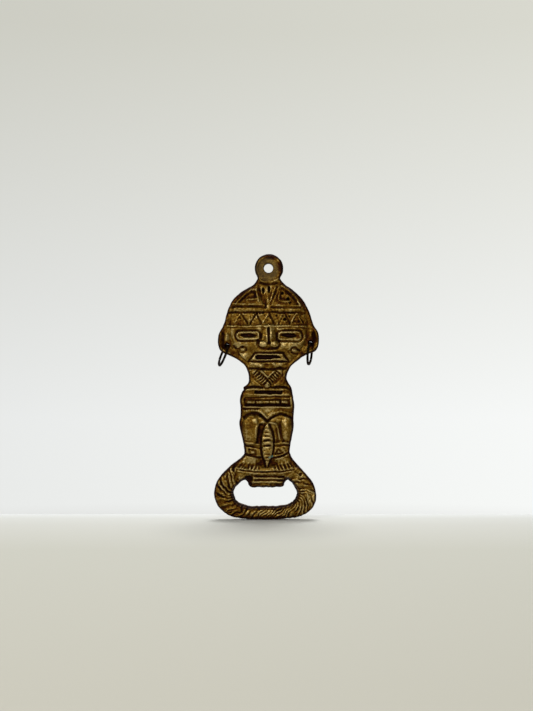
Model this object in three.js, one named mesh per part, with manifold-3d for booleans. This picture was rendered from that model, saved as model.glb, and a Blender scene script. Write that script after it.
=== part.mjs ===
// A souvenir bottle opener: one brass casting of an idol standing on a rope loop, and a wire ring
// through each ear. Millimetres. X runs across the opener, Y from its front (-Y) to its back (+Y), and
// Z up from the bottom of the loop. The middle of the casting's thickness is y = 0.
import * as THREE from 'three';
import { mergeVertices } from 'three/addons/utils/BufferGeometryUtils.js';
import Module from 'manifold-3d';

const wasm = await Module();
wasm.setup();

// Driving dimensions
const plateHalfThickness = 2.2;
const edgeBevel = 0.7;
const trim = { inset: 0.35, reach: 10 };
const finestDetail = 0.03;
const outlineSteps = 130;
const mouthSteps = 52;
const lug = { x: 1.4, z: 141.7, radius: 8.3, holeX: 1.1, holeZ: 141.75, holeRadius: 2.65 };
const head = { x: 1.2, z: 109.5, halfWidth: 24, halfHeight: 23.5, rise: 1.5 };
const tongue = { left: -9.5, right: 9.6, top: 25.4, tip: 17.2, tipFrontY: -0.7 };
const ring = { radius: 6.1, wireRadius: 0.65, yaw: 12, gap: 5, steps: 28, sides: 8 };
const ears = {
  left: { x: -22.2, z: 98.2, holeRadius: 1.7, swing: 22, yawSign: -1 },
  right: { x: 24.8, z: 99.6, holeRadius: 1.7, swing: 4.5, yawSign: 1 },
};

const brass = new THREE.MeshStandardMaterial({ color: 0x7d6230, roughness: 0.45, metalness: 0.9 });
const darkWire = new THREE.MeshStandardMaterial({ color: 0x1d1712, roughness: 0.5, metalness: 0.7 });

// The left side runs down from the lug's neck, and the right side runs up from the loop.
const leftSide = [
  [-5.4, 135.6], [-7.6, 132.3], [-14.6, 128.3], [-19.2, 123.8], [-22.5, 117], [-24.2, 110.2],
  [-26.8, 105.7], [-27.6, 101.2], [-26.7, 96.6], [-24.6, 93.8], [-20.3, 92.1], [-15.2, 89.3],
  [-12.2, 86.5], [-10.1, 81.6], [-10.2, 77.4], [-13.2, 74], [-14.9, 69.2], [-14.8, 60],
  [-15.3, 54], [-13.3, 43], [-12.8, 37], [-15, 34.5], [-20.9, 30], [-25.5, 25.4], [-28.9, 20],
  [-29.9, 14.5], [-28.6, 9.6], [-25.2, 5.1], [-19.6, 1.7], [-12, 0.4],
];
const rightSide = [
  [10, 0.3], [19.4, 1.7], [24.6, 5.1], [27.5, 8.8], [28.2, 13.4], [26.6, 19.4], [22.6, 25.4],
  [16.9, 32.2], [13.6, 36.7], [13.5, 41], [15.2, 51.4], [15.7, 64], [14.6, 71.8], [12.4, 77.4],
  [11.6, 81], [14, 86.5], [18.2, 89.9], [21.2, 92.6], [25.6, 94], [28.9, 96.6], [29.9, 101],
  [28.6, 107], [25.6, 113.3], [22.2, 121.5], [17, 127.9], [10.2, 132.8], [8.3, 135.6],
];
const mouthOutline = [
  [-9.6, 18.8], [-10.6, 20.6], [-12.4, 22.2], [-14.4, 21.4], [-17.6, 17.9], [-18.4, 14.4],
  [-16.8, 10.6], [-12.1, 8], [0, 7.4], [10.5, 8.2], [14.8, 10.2], [17, 14.4], [15.4, 18.8],
  [12.6, 22.1], [11, 21.8], [10, 20.2], [9.4, 18.6], [4, 17.8], [-4, 17.8],
];
// The line along the middle of the loop's rope, from its left end to its right end.
const ropeLine = [
  [-17.6, 27.4], [-22.6, 21], [-24.2, 14.6], [-21.8, 8.6], [-14.5, 4.7], [0, 3.7], [13.5, 4.6],
  [20.4, 7.8], [22.6, 13], [20.8, 19.8], [16, 27],
];

function toSolid(geometry) {
  const bare = geometry.index ? geometry.toNonIndexed() : geometry.clone();
  bare.deleteAttribute('normal');
  bare.deleteAttribute('uv');
  const merged = mergeVertices(bare, 1e-4);
  const mesh = new wasm.Mesh({
    numProp: 3,
    vertProperties: new Float32Array(merged.attributes.position.array),
    triVerts: new Uint32Array(merged.index.array),
  });
  return new wasm.Manifold(mesh);
}

function toGeometry(solid) {
  const mesh = solid.getMesh();
  const geometry = new THREE.BufferGeometry();
  geometry.setAttribute('position', new THREE.BufferAttribute(mesh.vertProperties, 3));
  geometry.setIndex(new THREE.BufferAttribute(mesh.triVerts, 1));
  return geometry;
}

function joinAll(first, others) {
  return others.reduce((sum, other) => sum.add(other), first);
}

// The front of the plate, which bulges forward over the head as a flat ellipsoid does.
function frontY(x, z) {
  const across = (x - head.x) / head.halfWidth;
  const up = (z - head.z) / head.halfHeight;
  const bulge = Math.sqrt(Math.max(0, 1 - across * across - up * up));
  return -plateHalfThickness - head.rise * bulge;
}

// Shapes are drawn in X and Z, and their extrusion is turned so that it runs along Y.
function standUp(geometry) {
  return geometry.rotateX(Math.PI / 2);
}

function smoothLoop(points, steps) {
  const curve = new THREE.CatmullRomCurve3(points.map(([x, z]) => new THREE.Vector3(x, z, 0)), true);
  return curve.getSpacedPoints(steps).slice(0, -1).map((p) => new THREE.Vector2(p.x, p.y));
}

function circlePath(x, z, radius, sides) {
  const points = Array.from({ length: sides }, (_, i) => {
    const angle = (2 * Math.PI * i) / sides;
    return new THREE.Vector2(x + radius * Math.cos(angle), z + radius * Math.sin(angle));
  });
  return new THREE.Path(points);
}

function makeSilhouette() {
  const top = [-20, 10, 40, 65, 90, 115, 140, 170, 200].map((degrees) => {
    const angle = THREE.MathUtils.degToRad(degrees);
    return [lug.x + lug.radius * Math.cos(angle), lug.z + lug.radius * Math.sin(angle)];
  });
  const shape = new THREE.Shape(smoothLoop([...leftSide, ...rightSide, ...top], outlineSteps));
  shape.holes.push(new THREE.Path(smoothLoop(mouthOutline, mouthSteps)));
  shape.holes.push(circlePath(lug.holeX, lug.holeZ, lug.holeRadius, 20));
  for (const ear of Object.values(ears)) {
    shape.holes.push(circlePath(ear.x, ear.z, ear.holeRadius, 12));
  }
  return shape;
}

function makePlate(silhouette) {
  const plate = new THREE.ExtrudeGeometry(silhouette, {
    depth: 2 * (plateHalfThickness - edgeBevel),
    bevelThickness: edgeBevel,
    bevelSize: edgeBevel,
    bevelOffset: -edgeBevel,
    bevelSegments: 1,
    curveSegments: 1,
  });
  return toSolid(standUp(plate.translate(0, 0, edgeBevel - plateHalfThickness)));
}

// A block that reaches well in front of the plate, with its edges a little inside the silhouette.
function makeTrim(silhouette) {
  const block = new THREE.ExtrudeGeometry(silhouette, {
    depth: trim.reach,
    bevelThickness: trim.inset,
    bevelSize: 0,
    bevelOffset: -trim.inset,
    bevelSegments: 1,
    curveSegments: 1,
  });
  return toSolid(standUp(block));
}

// Lays a shape that is made about y = 0 on the front of the plate, following the head's bulge.
function layOnFront(geometry) {
  const position = geometry.attributes.position;
  for (let i = 0; i < position.count; i += 1) {
    position.setY(i, position.getY(i) + frontY(position.getX(i), position.getZ(i)));
  }
  return toSolid(geometry);
}

// Round ridges along straight lines from each [x, z] point to the next.
function ridge(points, radius, closed = false) {
  const corners = closed ? [...points, points[0]] : points;
  const longestStep = 7;
  return corners.slice(1).map(([x, z], i) => {
    const start = new THREE.Vector3(corners[i][0], 0, corners[i][1]);
    const extrudePath = new THREE.LineCurve3(start, new THREE.Vector3(x, 0, z));
    const steps = Math.ceil(extrudePath.getLength() / longestStep);
    const section = new THREE.Shape(circlePath(0, 0, radius, 6).getPoints());
    return layOnFront(new THREE.ExtrudeGeometry(section, { steps, extrudePath }));
  });
}

function bump(x, z, halfWidth, rise, halfHeight) {
  const ball = new THREE.SphereGeometry(1, 12, 8).scale(halfWidth, rise, halfHeight);
  return layOnFront(ball.translate(x, 0, z));
}

function ellipse(x, z, halfWidth, halfHeight, sides) {
  return Array.from({ length: sides }, (_, i) => {
    const angle = (2 * Math.PI * i) / sides;
    return [x + halfWidth * Math.cos(angle), z + halfHeight * Math.sin(angle)];
  });
}

function makeHeadBulge() {
  const ball = new THREE.SphereGeometry(1, 28, 16);
  ball.rotateX(Math.PI / 2);
  ball.scale(head.halfWidth, head.rise, head.halfHeight);
  return toSolid(ball.translate(head.x, -plateHalfThickness, head.z));
}

function makeCrown() {
  const triangles = [-15, -5.9, 1.5, 9.8, 17.2].flatMap((apex) =>
    ridge([[apex - 3.6, 110.6], [apex, 116], [apex + 3.6, 110.6]], 0.55));
  return [
    ...ridge([[-20.3, 118.6], [20.6, 118.6]], 1.1),
    ...ridge([[-23.2, 109], [24.6, 109]], 0.9),
    ...ridge([[-16.9, 121.3], [-13, 126.6], [-7.2, 129.8], [-3.6, 121.3]], 0.6, true),
    ...ridge([[-10.4, 124.1], [-6.8, 128.4], [-5.2, 124.1]], 0.5, true),
    ...ridge([[-4.3, 131.6], [0.4, 120]], 0.6),
    ...ridge([[6, 131.6], [1.6, 120]], 0.6),
    ...ridge([[8.4, 131.4], [14.1, 127.4], [18.4, 121.6]], 0.6),
    ...ridge([[6.9, 123.4], [12.6, 123.4]], 0.6),
    ...triangles,
  ];
}

function makeFace() {
  const mouth = [[-6.4, 94.1], [9.5, 94.1], [12.1, 89.2], [-9.8, 89.2]];
  return [
    ...ridge(ellipse(-10.4, 103.8, 5.8, 2.2, 12), 0.6, true),
    ...ridge(ellipse(13, 103.6, 5.8, 2.2, 12), 0.6, true),
    bump(1.5, 103, 2.4, 1.1, 5.8),
    bump(-1.7, 99, 2.2, 1.4, 2.2),
    bump(4.3, 99, 2.2, 1.4, 2.2),
    ...ridge(mouth, 0.7, true),
    bump(-13.6, 95.6, 1.7, 0.8, 1.4),
    bump(15.6, 95.6, 1.7, 0.8, 1.4),
    ...ridge([[-8.4, 86.9], [10, 86.9]], 0.9),
    ...ridge([[-26.1, 104.6], [-26.6, 100.4], [-25.6, 96.4]], 0.6),
    ...ridge([[28.1, 104.2], [28.8, 100.6], [27.6, 97]], 0.6),
  ];
}

function makeTorso() {
  return [
    ...ridge([[-6.6, 83.2], [0.5, 76.8], [7.4, 83.2]], 0.9),
    ...ridge([[-2.6, 83.8], [0.8, 80.2], [4.3, 83.8]], 0.6),
    ...ridge([[-11.6, 74.4], [12, 74.4]], 0.6),
    ...ridge([[-11.4, 69.8], [12, 69.8]], 0.7),
    ...ridge([[-12.6, 66.4], [12.6, 66.4]], 1.3),
    ...ridge([[-12.4, 63.4], [13.4, 63.4]], 0.6),
    ...ridge([[-13, 57], [-7.8, 61], [0.4, 56.6], [7.3, 60.4], [13.4, 57]], 0.7),
    bump(-8.6, 50.6, 4.4, 1.6, 8),
    bump(9.4, 50.6, 4.2, 1.6, 8),
    ...ridge([[-12.2, 43.2], [-3.6, 41.6]], 0.6),
    ...ridge([[4.6, 41.8], [12.8, 42.4]], 0.6),
    ...ridge([[-12, 36.2], [-3.4, 35.2]], 0.6),
    ...ridge([[4.4, 35.6], [12.8, 37.6]], 0.6),
    bump(-7.6, 38.3, 2.2, 0.9, 2.2),
    bump(6.9, 38.5, 2.2, 0.9, 2.2),
  ];
}

// The pendant hangs down the middle of the legs: a spindle turned on the Z axis, with a ring of beads.
function makePendant() {
  const pendant = { x: 0.5, top: 54, bottom: 30.4, halfWidth: 3.1, halfDepth: 2.1, beads: 7 };
  const steps = pendant.beads * 2;
  const profile = Array.from({ length: steps + 1 }, (_, i) => {
    const share = i / steps;
    const bead = i % 2 === 0 ? 0.88 : 1.08;
    const radius = Math.sin(Math.PI * share) ** 0.6 * bead;
    const isEnd = i === 0 || i === steps;
    return new THREE.Vector2(isEnd ? 0 : radius, pendant.bottom + share * (pendant.top - pendant.bottom));
  });
  const spindle = new THREE.LatheGeometry(profile, 10);
  spindle.rotateX(Math.PI / 2).scale(pendant.halfWidth, pendant.halfDepth, 1);
  return toSolid(spindle.translate(pendant.x, -plateHalfThickness, 0));
}

function makeToes() {
  const fans = [
    { x: -10.8, z: 30.6, lean: -1 },
    { x: 10, z: 30.6, lean: 1 },
  ];
  return fans.flatMap((fan) => [-2, -1, 0, 1, 2].map((toe) => {
    const x = fan.x + toe * 2.5;
    const z = fan.z - 0.35 * toe * fan.lean;
    return bump(x, z, 1.1, 0.9, 2.1);
  }));
}

// Strands lie across the rope line and lean forward along it, as the lay of a twisted rope does.
function makeRope() {
  const line = new THREE.CatmullRomCurve3(ropeLine.map(([x, z]) => new THREE.Vector3(x, 0, z)));
  const pitch = 3.7;
  const halfLength = 4.1;
  const lean = THREE.MathUtils.degToRad(48);
  const count = Math.floor(line.getLength() / pitch);
  return Array.from({ length: count - 1 }, (_, i) => {
    const share = (i + 1) / count;
    const middle = line.getPointAt(share);
    const along = line.getTangentAt(share);
    const inward = new THREE.Vector3(-along.z, 0, along.x);
    const strand = inward.multiplyScalar(Math.sin(lean)).addScaledVector(along, Math.cos(lean));
    const ends = [-halfLength, halfLength].map((reach) => middle.clone().addScaledVector(strand, reach));
    return ridge(ends.map((end) => [end.x, end.z]), 1.2)[0];
  });
}

// The tongue thins towards its tip, so that it slides under a cap. The cut is a wedge off its front.
function makeTongueCut() {
  const front = -plateHalfThickness - 1;
  const wedge = new THREE.Shape();
  wedge.moveTo(front, tongue.top);
  wedge.lineTo(-plateHalfThickness, tongue.top);
  wedge.lineTo(tongue.tipFrontY, tongue.tip);
  wedge.lineTo(front, tongue.tip);
  wedge.closePath();
  const width = tongue.right - tongue.left;
  const cut = new THREE.ExtrudeGeometry(wedge, { depth: width, bevelEnabled: false });
  const upright = new THREE.Matrix4().makeBasis(
    new THREE.Vector3(0, 1, 0),
    new THREE.Vector3(0, 0, 1),
    new THREE.Vector3(1, 0, 0),
  );
  return toSolid(cut.applyMatrix4(upright).translate(tongue.left, 0, 0));
}

function makeCasting() {
  const silhouette = makeSilhouette();
  const relief = joinAll(makeHeadBulge(), [
    ...makeCrown(),
    ...makeFace(),
    ...makeTorso(),
    makePendant(),
    ...makeToes(),
    ...makeRope(),
  ]);
  const trimmed = relief.intersect(makeTrim(silhouette)).simplify(finestDetail);
  const whole = makePlate(silhouette).add(trimmed).subtract(makeTongueCut());
  return toGeometry(whole.simplify(finestDetail));
}

// A ring of bent wire with a narrow gap where its ends meet. The top of its centre line is at the origin,
// where it passes through the ear, and the gap is at the back, low down.
function makeRing() {
  const gapCentre = 325;
  const sweep = THREE.MathUtils.degToRad(360 - ring.gap);
  const start = THREE.MathUtils.degToRad(gapCentre + ring.gap / 2);
  const points = Array.from({ length: ring.steps + 1 }, (_, i) => {
    const angle = start + (sweep * i) / ring.steps;
    return new THREE.Vector3(0, ring.radius * Math.cos(angle), ring.radius * (Math.sin(angle) - 1));
  });
  const wire = new THREE.Shape(circlePath(0, 0, ring.wireRadius, ring.sides).getPoints());
  const extrudePath = new THREE.CatmullRomCurve3(points);
  return new THREE.ExtrudeGeometry(wire, { steps: ring.steps, extrudePath });
}

function addMesh(parent, name, geometry, material) {
  const mesh = new THREE.Mesh(geometry, material);
  mesh.name = name;
  parent.add(mesh);
  return mesh;
}

const opener = new THREE.Group();
addMesh(opener, 'casting', makeCasting(), brass);
for (const [side, ear] of Object.entries(ears)) {
  const hanging = new THREE.Group();
  hanging.position.set(ear.x, 0, ear.z);
  hanging.rotation.y = THREE.MathUtils.degToRad(ear.swing);
  const earring = addMesh(hanging, `${side}_earring`, makeRing(), darkWire);
  earring.rotation.z = THREE.MathUtils.degToRad(ear.yawSign * -ring.yaw);
  opener.add(hanging);
}

export default opener;
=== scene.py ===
import math
import bpy
import numpy as np
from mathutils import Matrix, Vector


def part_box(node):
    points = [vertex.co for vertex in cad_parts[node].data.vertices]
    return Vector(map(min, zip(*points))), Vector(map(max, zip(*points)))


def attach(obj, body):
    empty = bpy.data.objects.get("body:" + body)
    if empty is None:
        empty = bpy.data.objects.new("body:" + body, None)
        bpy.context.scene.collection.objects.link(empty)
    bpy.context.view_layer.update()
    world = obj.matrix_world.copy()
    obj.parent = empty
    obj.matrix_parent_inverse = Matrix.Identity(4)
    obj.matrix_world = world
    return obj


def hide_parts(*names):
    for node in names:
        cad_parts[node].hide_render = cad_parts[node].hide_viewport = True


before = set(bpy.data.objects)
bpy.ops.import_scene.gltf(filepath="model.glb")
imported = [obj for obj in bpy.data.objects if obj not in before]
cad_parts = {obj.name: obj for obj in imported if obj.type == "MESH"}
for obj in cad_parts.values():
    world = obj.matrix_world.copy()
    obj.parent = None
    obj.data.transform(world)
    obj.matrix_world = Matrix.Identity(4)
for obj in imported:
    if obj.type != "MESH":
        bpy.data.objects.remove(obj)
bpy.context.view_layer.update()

# The casting is drawn in millimetres, X across, Z up from the loop, height forward of the middle plane.
# One drawn millimetre is this many metres, and the drawing's zero is placed on the CAD casting.
drawnHeight = 149.94
castingLow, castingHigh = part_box("casting")
unit = (castingHigh.z - castingLow.z) / drawnHeight
middleX = (castingLow.x + castingHigh.x) / 2
backHeight = 2.2
middleY = castingHigh.y - backHeight * unit
baseZ = castingLow.z
deepestFront = (middleY - castingLow.y) / unit


def ramp(value, start, end):
    share = np.clip((value - start) / (end - start), 0, 1)
    return share * share * (3 - 2 * share)


# Random values on a square lattice, blended between lattice points by a smooth step
def lumps(x, z, size, seed):
    table = np.random.default_rng(seed).uniform(-1, 1, (97, 97))
    u, v = x / size + 31.3, z / size + 17.7
    column, row = np.floor(u).astype(int), np.floor(v).astype(int)
    across, up = ramp(u - column, 0, 1), ramp(v - row, 0, 1)
    c0, c1, r0, r1 = column % 97, (column + 1) % 97, row % 97, (row + 1) % 97
    low = table[r0, c0] * (1 - across) + table[r0, c1] * across
    high = table[r1, c0] * (1 - across) + table[r1, c1] * across
    return low * (1 - up) + high * up


# A closed Catmull-Rom curve: each span is the cubic that passes through its two points with
# slopes taken from the points on either side
def closedCurve(points, perSpan):
    here = np.array(points, float)[:, None, :]
    before, after, beyond = np.roll(here, 1, 0), np.roll(here, -1, 0), np.roll(here, -2, 0)
    t = (np.arange(perSpan) / perSpan)[None, :, None]
    cubic = 3 * here - before - 3 * after + beyond
    square = 2 * before - 5 * here + 4 * after - beyond
    curve = 0.5 * (2 * here + (after - before) * t + square * t**2 + cubic * t**3)
    return curve.reshape(-1, 2)


# How far each point is from a line of straight spans, and how far along the line its nearest point is
def alongLine(x, z, points):
    nearest = np.full(x.shape, np.inf)
    travel = np.zeros(x.shape)
    side = np.zeros(x.shape)
    walked = 0
    for (ax, az), (bx, bz) in zip(points[:-1], points[1:]):
        dx, dz = bx - ax, bz - az
        length = math.hypot(dx, dz)
        share = np.clip(((x - ax) * dx + (z - az) * dz) / length**2, 0, 1)
        gap = np.hypot(x - ax - share * dx, z - az - share * dz)
        closer = gap < nearest
        nearest = np.where(closer, gap, nearest)
        travel = np.where(closer, walked + share * length, travel)
        side = np.where(closer, np.sign(dx * (z - az) - dz * (x - ax)), side)
        walked += length
    return nearest, travel, side


# Distance to a closed curve, positive inside it: the nearest span gives the distance, and the
# number of spans crossed on the way out to the right tells inside from outside
def insideDistance(x, z, curve):
    nearest = np.full(x.shape, np.inf)
    inside = np.zeros(x.shape, bool)
    for (ax, az), (bx, bz) in zip(curve, np.roll(curve, -1, 0)):
        dx, dz = bx - ax, bz - az
        offX, offZ = x - ax, z - az
        share = np.clip((offX * dx + offZ * dz) / (dx * dx + dz * dz), 0, 1)
        nearest = np.minimum(nearest, (offX - share * dx) ** 2 + (offZ - share * dz) ** 2)
        if dz:
            inside ^= ((az > z) != (bz > z)) & (offX < offZ * dx / dz)
    nearest = np.sqrt(nearest)
    return np.where(inside, nearest, -nearest)


# A rounded ridge: 1 on its line, and exp(-(distance / width) squared) away from it
def bell(distance, width):
    return np.exp(-((distance / width) ** 2))


# Rounded strokes, each a height, a width, and the x and z of every point on its line. The casting came
# out unevenly, so they are deeper in some places than in others.
def strokes(x, z, drawn):
    total = np.zeros(x.shape)
    for height, width, *ends in drawn:
        gap, _, _ = alongLine(x, z, list(zip(ends[::2], ends[1::2])))
        total += height * bell(gap, width)
    return total * (1 + 0.35 * lumps(x, z, 1.9, 61) + 0.2 * lumps(x, z, 5, 62))


# A round-topped mound on an ellipse, or a hollow where the height is negative
def mound(x, z, cx, cz, rx, rz, height, power=0.6):
    spread = ((x - cx) / rx) ** 2 + ((z - cz) / rz) ** 2
    return height * np.clip(1 - spread, 0, 1) ** power


def mounds(x, z, shapes, power=0.6):
    return sum(mound(x, z, *shape, power) for shape in shapes)


# From drawn millimetres to metres in the shared frame
def inPlace(points):
    x, y, z = points.T
    return np.stack([middleX + x * unit, middleY + y * unit, baseZ + z * unit], 1)


# A flat field inside a corner list, with its edge blended over a given width
def field(x, z, corners, height, blend):
    inside = insideDistance(x, z, np.array(corners, float))
    return height * ramp(inside, -blend / 2, blend / 2)


# Distance to a box with rounded ends, negative inside
def roundBox(x, z, cx, cz, halfWidth, halfHeight, corner):
    offX = np.abs(x - cx) - halfWidth + corner
    offZ = np.abs(z - cz) - halfHeight + corner
    outside = np.hypot(np.maximum(offX, 0), np.maximum(offZ, 0))
    return outside + np.minimum(np.maximum(offX, offZ), 0) - corner


castingShape = {
    "gridStep": 0.29,
    "columns": (-30.6, 30.8),
    "rows": (-0.6, 151),
    # each part's rise above the plate, and where along Z it fades in and out
    "plateRise": 1.75,
    "lugPart": (0.35, 131.5, 135.5),
    "bodyPart": (1.35, 87.5, 83.5, 31, 36),
    "loopPart": (1.1, 32, 28),
    "footPart": (0.5, 36, 31, 25, 29),
    "pillowWidth": 5.2,     # how far in from the edge the metal goes on swelling
    "softening": 0.55,      # share of each height that is the mean of the points round it
    "closeRound": 3,        # grid points to each side that count as close round a point, and as wider
    "wideRound": 9,
    "edgeInset": 0.3,       # how far inside the edge the front grid ends
    "edgeRadius": 1.15,
    "holeRadius": 0.6,      # rounding at the holes' edges
    "mouthDraft": 1.5,      # width of the sloping wall round the mouth
    "perSpan": 4,           # curve points between drawn points
    "lug": (1.4, 141.65, 8.28),
    "hangHole": (1.1, 141.75, 2.6),
    "earHoles": ((-22.2, 98.2, 1.32), (24.8, 99.6, 1.32)),   # x, z and radius near the faces
    "earThroat": 0.77,      # each ear hole narrows to this radius halfway through
    "leftSide": [
        (-5.5, 135.3), (-7.4, 132.6), (-11, 130.6), (-14.6, 128.3), (-17.3, 126), (-19.3, 123.7),
        (-21.6, 119.3), (-23.1, 114.7), (-23.9, 111.4), (-25.4, 108), (-26.9, 105.2), (-27.6, 101.4),
        (-27.4, 98.4), (-26.4, 95.7), (-24.5, 93.9), (-20.3, 92.1), (-16, 89.9), (-13, 87.5), (-11.1, 84.2),
        (-10.1, 80.8), (-10.3, 77.5), (-11.6, 75.9), (-13.3, 74.6), (-13.1, 73.3), (-14.2, 71.6),
        (-15.1, 67.6), (-14.8, 62.7), (-14.8, 58.2), (-15.5, 54.6), (-15, 51.2), (-14, 46.9), (-12.9, 40.7),
        (-12.9, 37), (-15, 34.5), (-18.1, 32.2), (-20.9, 30), (-23.4, 27.7), (-25.5, 25.4), (-27.6, 22.6),
        (-29.2, 18.9), (-29.7, 15.2), (-29.3, 11.9), (-28.1, 8.7), (-25.2, 5.1), (-22, 2.8), (-18.4, 1.35),
        (-12.5, 0.5), (-5.5, 0.12),
    ],
    "rightSide": [
        (3, 0.1), (9.5, 0.35), (15.5, 0.95), (20.3, 2.35), (24.6, 5.1), (27, 8.2), (28.1, 11.9),
        (27.8, 16.4), (26.2, 20.9), (22.8, 25.4), (18.7, 30), (15.2, 33.9), (13.6, 36.9), (13.3, 40.4),
        (14.5, 46.9), (15.4, 52.6), (15.3, 58.2), (15.8, 63.5), (15.1, 69.5), (14.3, 74.1), (12.5, 77.2),
        (11.5, 79.7), (11.9, 82.6), (13.9, 86.4), (17.2, 89.2), (20.4, 91.7), (24.2, 93.5), (27.3, 94.7),
        (29.1, 97.1), (29.75, 101), (29.1, 105.9), (26.9, 109.4), (25.4, 113.9), (23.7, 118.3),
        (21.2, 123.2), (18.2, 126.8), (14, 130.3), (10.6, 132.6), (8.2, 135.3),
    ],
    "mouth": [
        (-9.2, 18.3), (-10, 19.5), (-10.8, 21), (-12.3, 22.2), (-14.1, 21.6), (-16.2, 19.6), (-18, 17.2),
        (-18.5, 14.8), (-17.4, 11.2), (-14.8, 9), (-11.6, 8), (-8, 7.3), (-2, 7.6), (3.5, 7.4), (7.4, 7.8),
        (10.8, 8.2), (14.2, 9.7), (16.4, 12.4), (17.1, 14.9), (16.3, 17.7), (14.2, 20.6), (12.4, 22.2),
        (11.2, 22), (10.2, 20.6), (9.7, 18.9), (7.6, 18.2), (5.6, 18.4), (3.4, 17.8), (0.8, 18.2),
        (-1.6, 17.8), (-4.2, 18.2), (-6.7, 17.8),
    ],
}

lugX, lugZ, lugRadius = castingShape["lug"]
lugAngles = np.radians(np.array([-38, -15, 10, 35, 65, 90, 115, 145, 170, 195, 216]))
lugArc = [(lugX + lugRadius * math.cos(a), lugZ + lugRadius * math.sin(a)) for a in lugAngles]
bothSides = castingShape["leftSide"] + castingShape["rightSide"]
silhouette = closedCurve(bothSides + lugArc, castingShape["perSpan"])
mouthCurve = closedCurve(castingShape["mouth"], castingShape["perSpan"])


# Distances from points to each edge of the metal, positive in the metal, slightly rough as cast
def edgeDistances(x, z):
    rough = 0.09 * lumps(x, z, 1.5, 3) + 0.07 * lumps(x, z, 3.4, 4)
    outer = insideDistance(x, z, silhouette) - 0.12 + rough
    burrs = 0.2 * lumps(x, z, 1.3, 5) * ramp(z, 24, 21)
    mouth = -insideDistance(x, z, mouthCurve) + burrs
    hx, hz, hr = castingShape["hangHole"]
    holes = np.hypot(x - hx, z - hz) - hr
    for hx, hz, hr in castingShape["earHoles"]:
        holes = np.minimum(holes, np.hypot(x - hx, z - hz) - hr)
    return outer, mouth, holes


crown = {
    "dome": (1.2, 109.5, 21.6, 24.2, 2),   # centre, half width, half height and rise of the head
    "strokes": [
        (0.3, 1.2, -20.6, 118.5, 20.9, 118.3), (-0.5, 0.42, -19.6, 120, -10, 120.2, -0.9, 119.8),
        (-0.45, 0.4, 2.4, 119.7, 11, 119.6, 19.2, 119.3), (0.25, 0.4, 3, 120.9, 18.6, 120.5),
        (0.35, 0.45, -18.4, 121.5, -2.6, 121.3),
        (-0.95, 0.5, -22.3, 116.6, -17.6, 117, -12.5, 116.6, -6.8, 116.9, -1.6, 116.8),
        (-0.6, 0.42, -1.6, 116.8, 3.2, 117), (-0.95, 0.5, 3.2, 117, 8.8, 116.7, 14.2, 116.9, 21.6, 116.5),
        # central wedge
        (-0.55, 0.5, -4.5, 131.6, -2.6, 126.2, -0.4, 120.2), (-0.35, 0.35, -1.85, 127.4, -0.2, 121.3),
        (-0.6, 0.45, 6.1, 131.4, 4.2, 126.4, 2.1, 121.2), (0.4, 0.4, 5, 131, 3.2, 126.2, 1.4, 121),
        (0.45, 0.45, 7.3, 131.8, 5.4, 126.6, 3.4, 121.2), (-0.35, 0.3, 3, 129.6, 1.9, 124.4),
        (0.35, 0.5, 0, 131, 0.5, 126, 0.7, 122.4),
        # left panel
        (0.6, 0.5, -17.4, 121.6, -15.2, 124.4, -11.6, 127.7, -8.6, 129.5, -5.9, 129.4),
        (0.55, 0.5, -5.9, 129.4, -5.2, 126, -4.5, 123),
        (-0.6, 0.5, -15.2, 123, -11.2, 126.5, -8.2, 128.3, -6.8, 127.9, -6.2, 125.4),
        (0.55, 0.5, -11.3, 123.9, -8.2, 124.1, -5.9, 124.2), (-0.5, 0.5, -10, 125.3, -7.2, 125.5),
        (-0.45, 0.5, -3.9, 129.6, -3, 125.4, -1.9, 121.9),
        # right panel
        (0.65, 0.5, 8.3, 132, 11.2, 130.3, 14.4, 127.5, 17.1, 124.2, 18.9, 120.8),
        (-0.55, 0.5, 8.6, 130.5, 11, 128.9, 13.7, 126.3, 16.2, 123.2, 17.4, 121.4),
        (0.5, 0.45, 7.4, 128.9, 6.8, 125.2, 7.1, 123.2, 10.2, 122.8, 13.4, 122.8),
        (-0.4, 0.4, 8.2, 127.6, 7.9, 124.8, 10.6, 124.2, 12.8, 124),
        # step below the lug
        (0.5, 0.5, -4.3, 136.4, -3.2, 134.7, -1.6, 133.9, 2.2, 133.9, 5.2, 134.7, 6.6, 136),
        (-0.55, 0.45, -3.6, 133.3, -1.4, 132.7, 2.6, 132.7, 6.4, 133.6),
    ],
    "pits": [
        (-1.9, 129, 0.75, 1.7, -1.9), (1.6, 129.9, 0.6, 2.1, -1.9), (9, 127.6, 0.7, 0.8, -1.5),
        (12.1, 124.3, 0.8, 1.1, -1.9), (13.3, 122.4, 0.6, 0.7, -1.2), (10.2, 113, 1.1, 0.8, -1.7),
        (5.8, 115.2, 0.5, 0.5, -0.9), (-13.6, 125, 0.4, 0.5, -0.6), (6.2, 117.8, 0.4, 0.4, -0.7),
    ],
}

headband = {
    # apex, left foot, right foot, and the height of each leg's stroke
    "triangles": [
        (-14.4, -18.3, -10.7, 0.45, -0.8), (-5.5, -9.1, -3.3, -0.8, -0.75), (1.3, -2.4, 4.3, 0.45, -0.85),
        (10.2, 7.2, 13, -0.35, -0.9), (16.9, 13.6, 20.1, 0.6, 0.5),
    ],
    "top": 116.2,
    "foot": 110.7,
    "strokes": [
        (0.45, 0.5, -22.3, 109, -12, 108.9, 0, 109.1, 12, 109, 23.6, 108.9),
        (-0.3, 0.4, -20.4, 108.1, -10, 108.1, -1.4, 108.4), (-0.3, 0.4, 4.6, 108.4, 12, 108.1, 21.6, 108.1),
        (-0.3, 0.5, -21.8, 115.4, -21, 110.6), (-0.5, 0.4, 11.2, 116.2, 12.9, 114.2),
        (0.3, 0.4, 13.7, 110.7, 20.2, 110.7),
    ],
}

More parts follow.
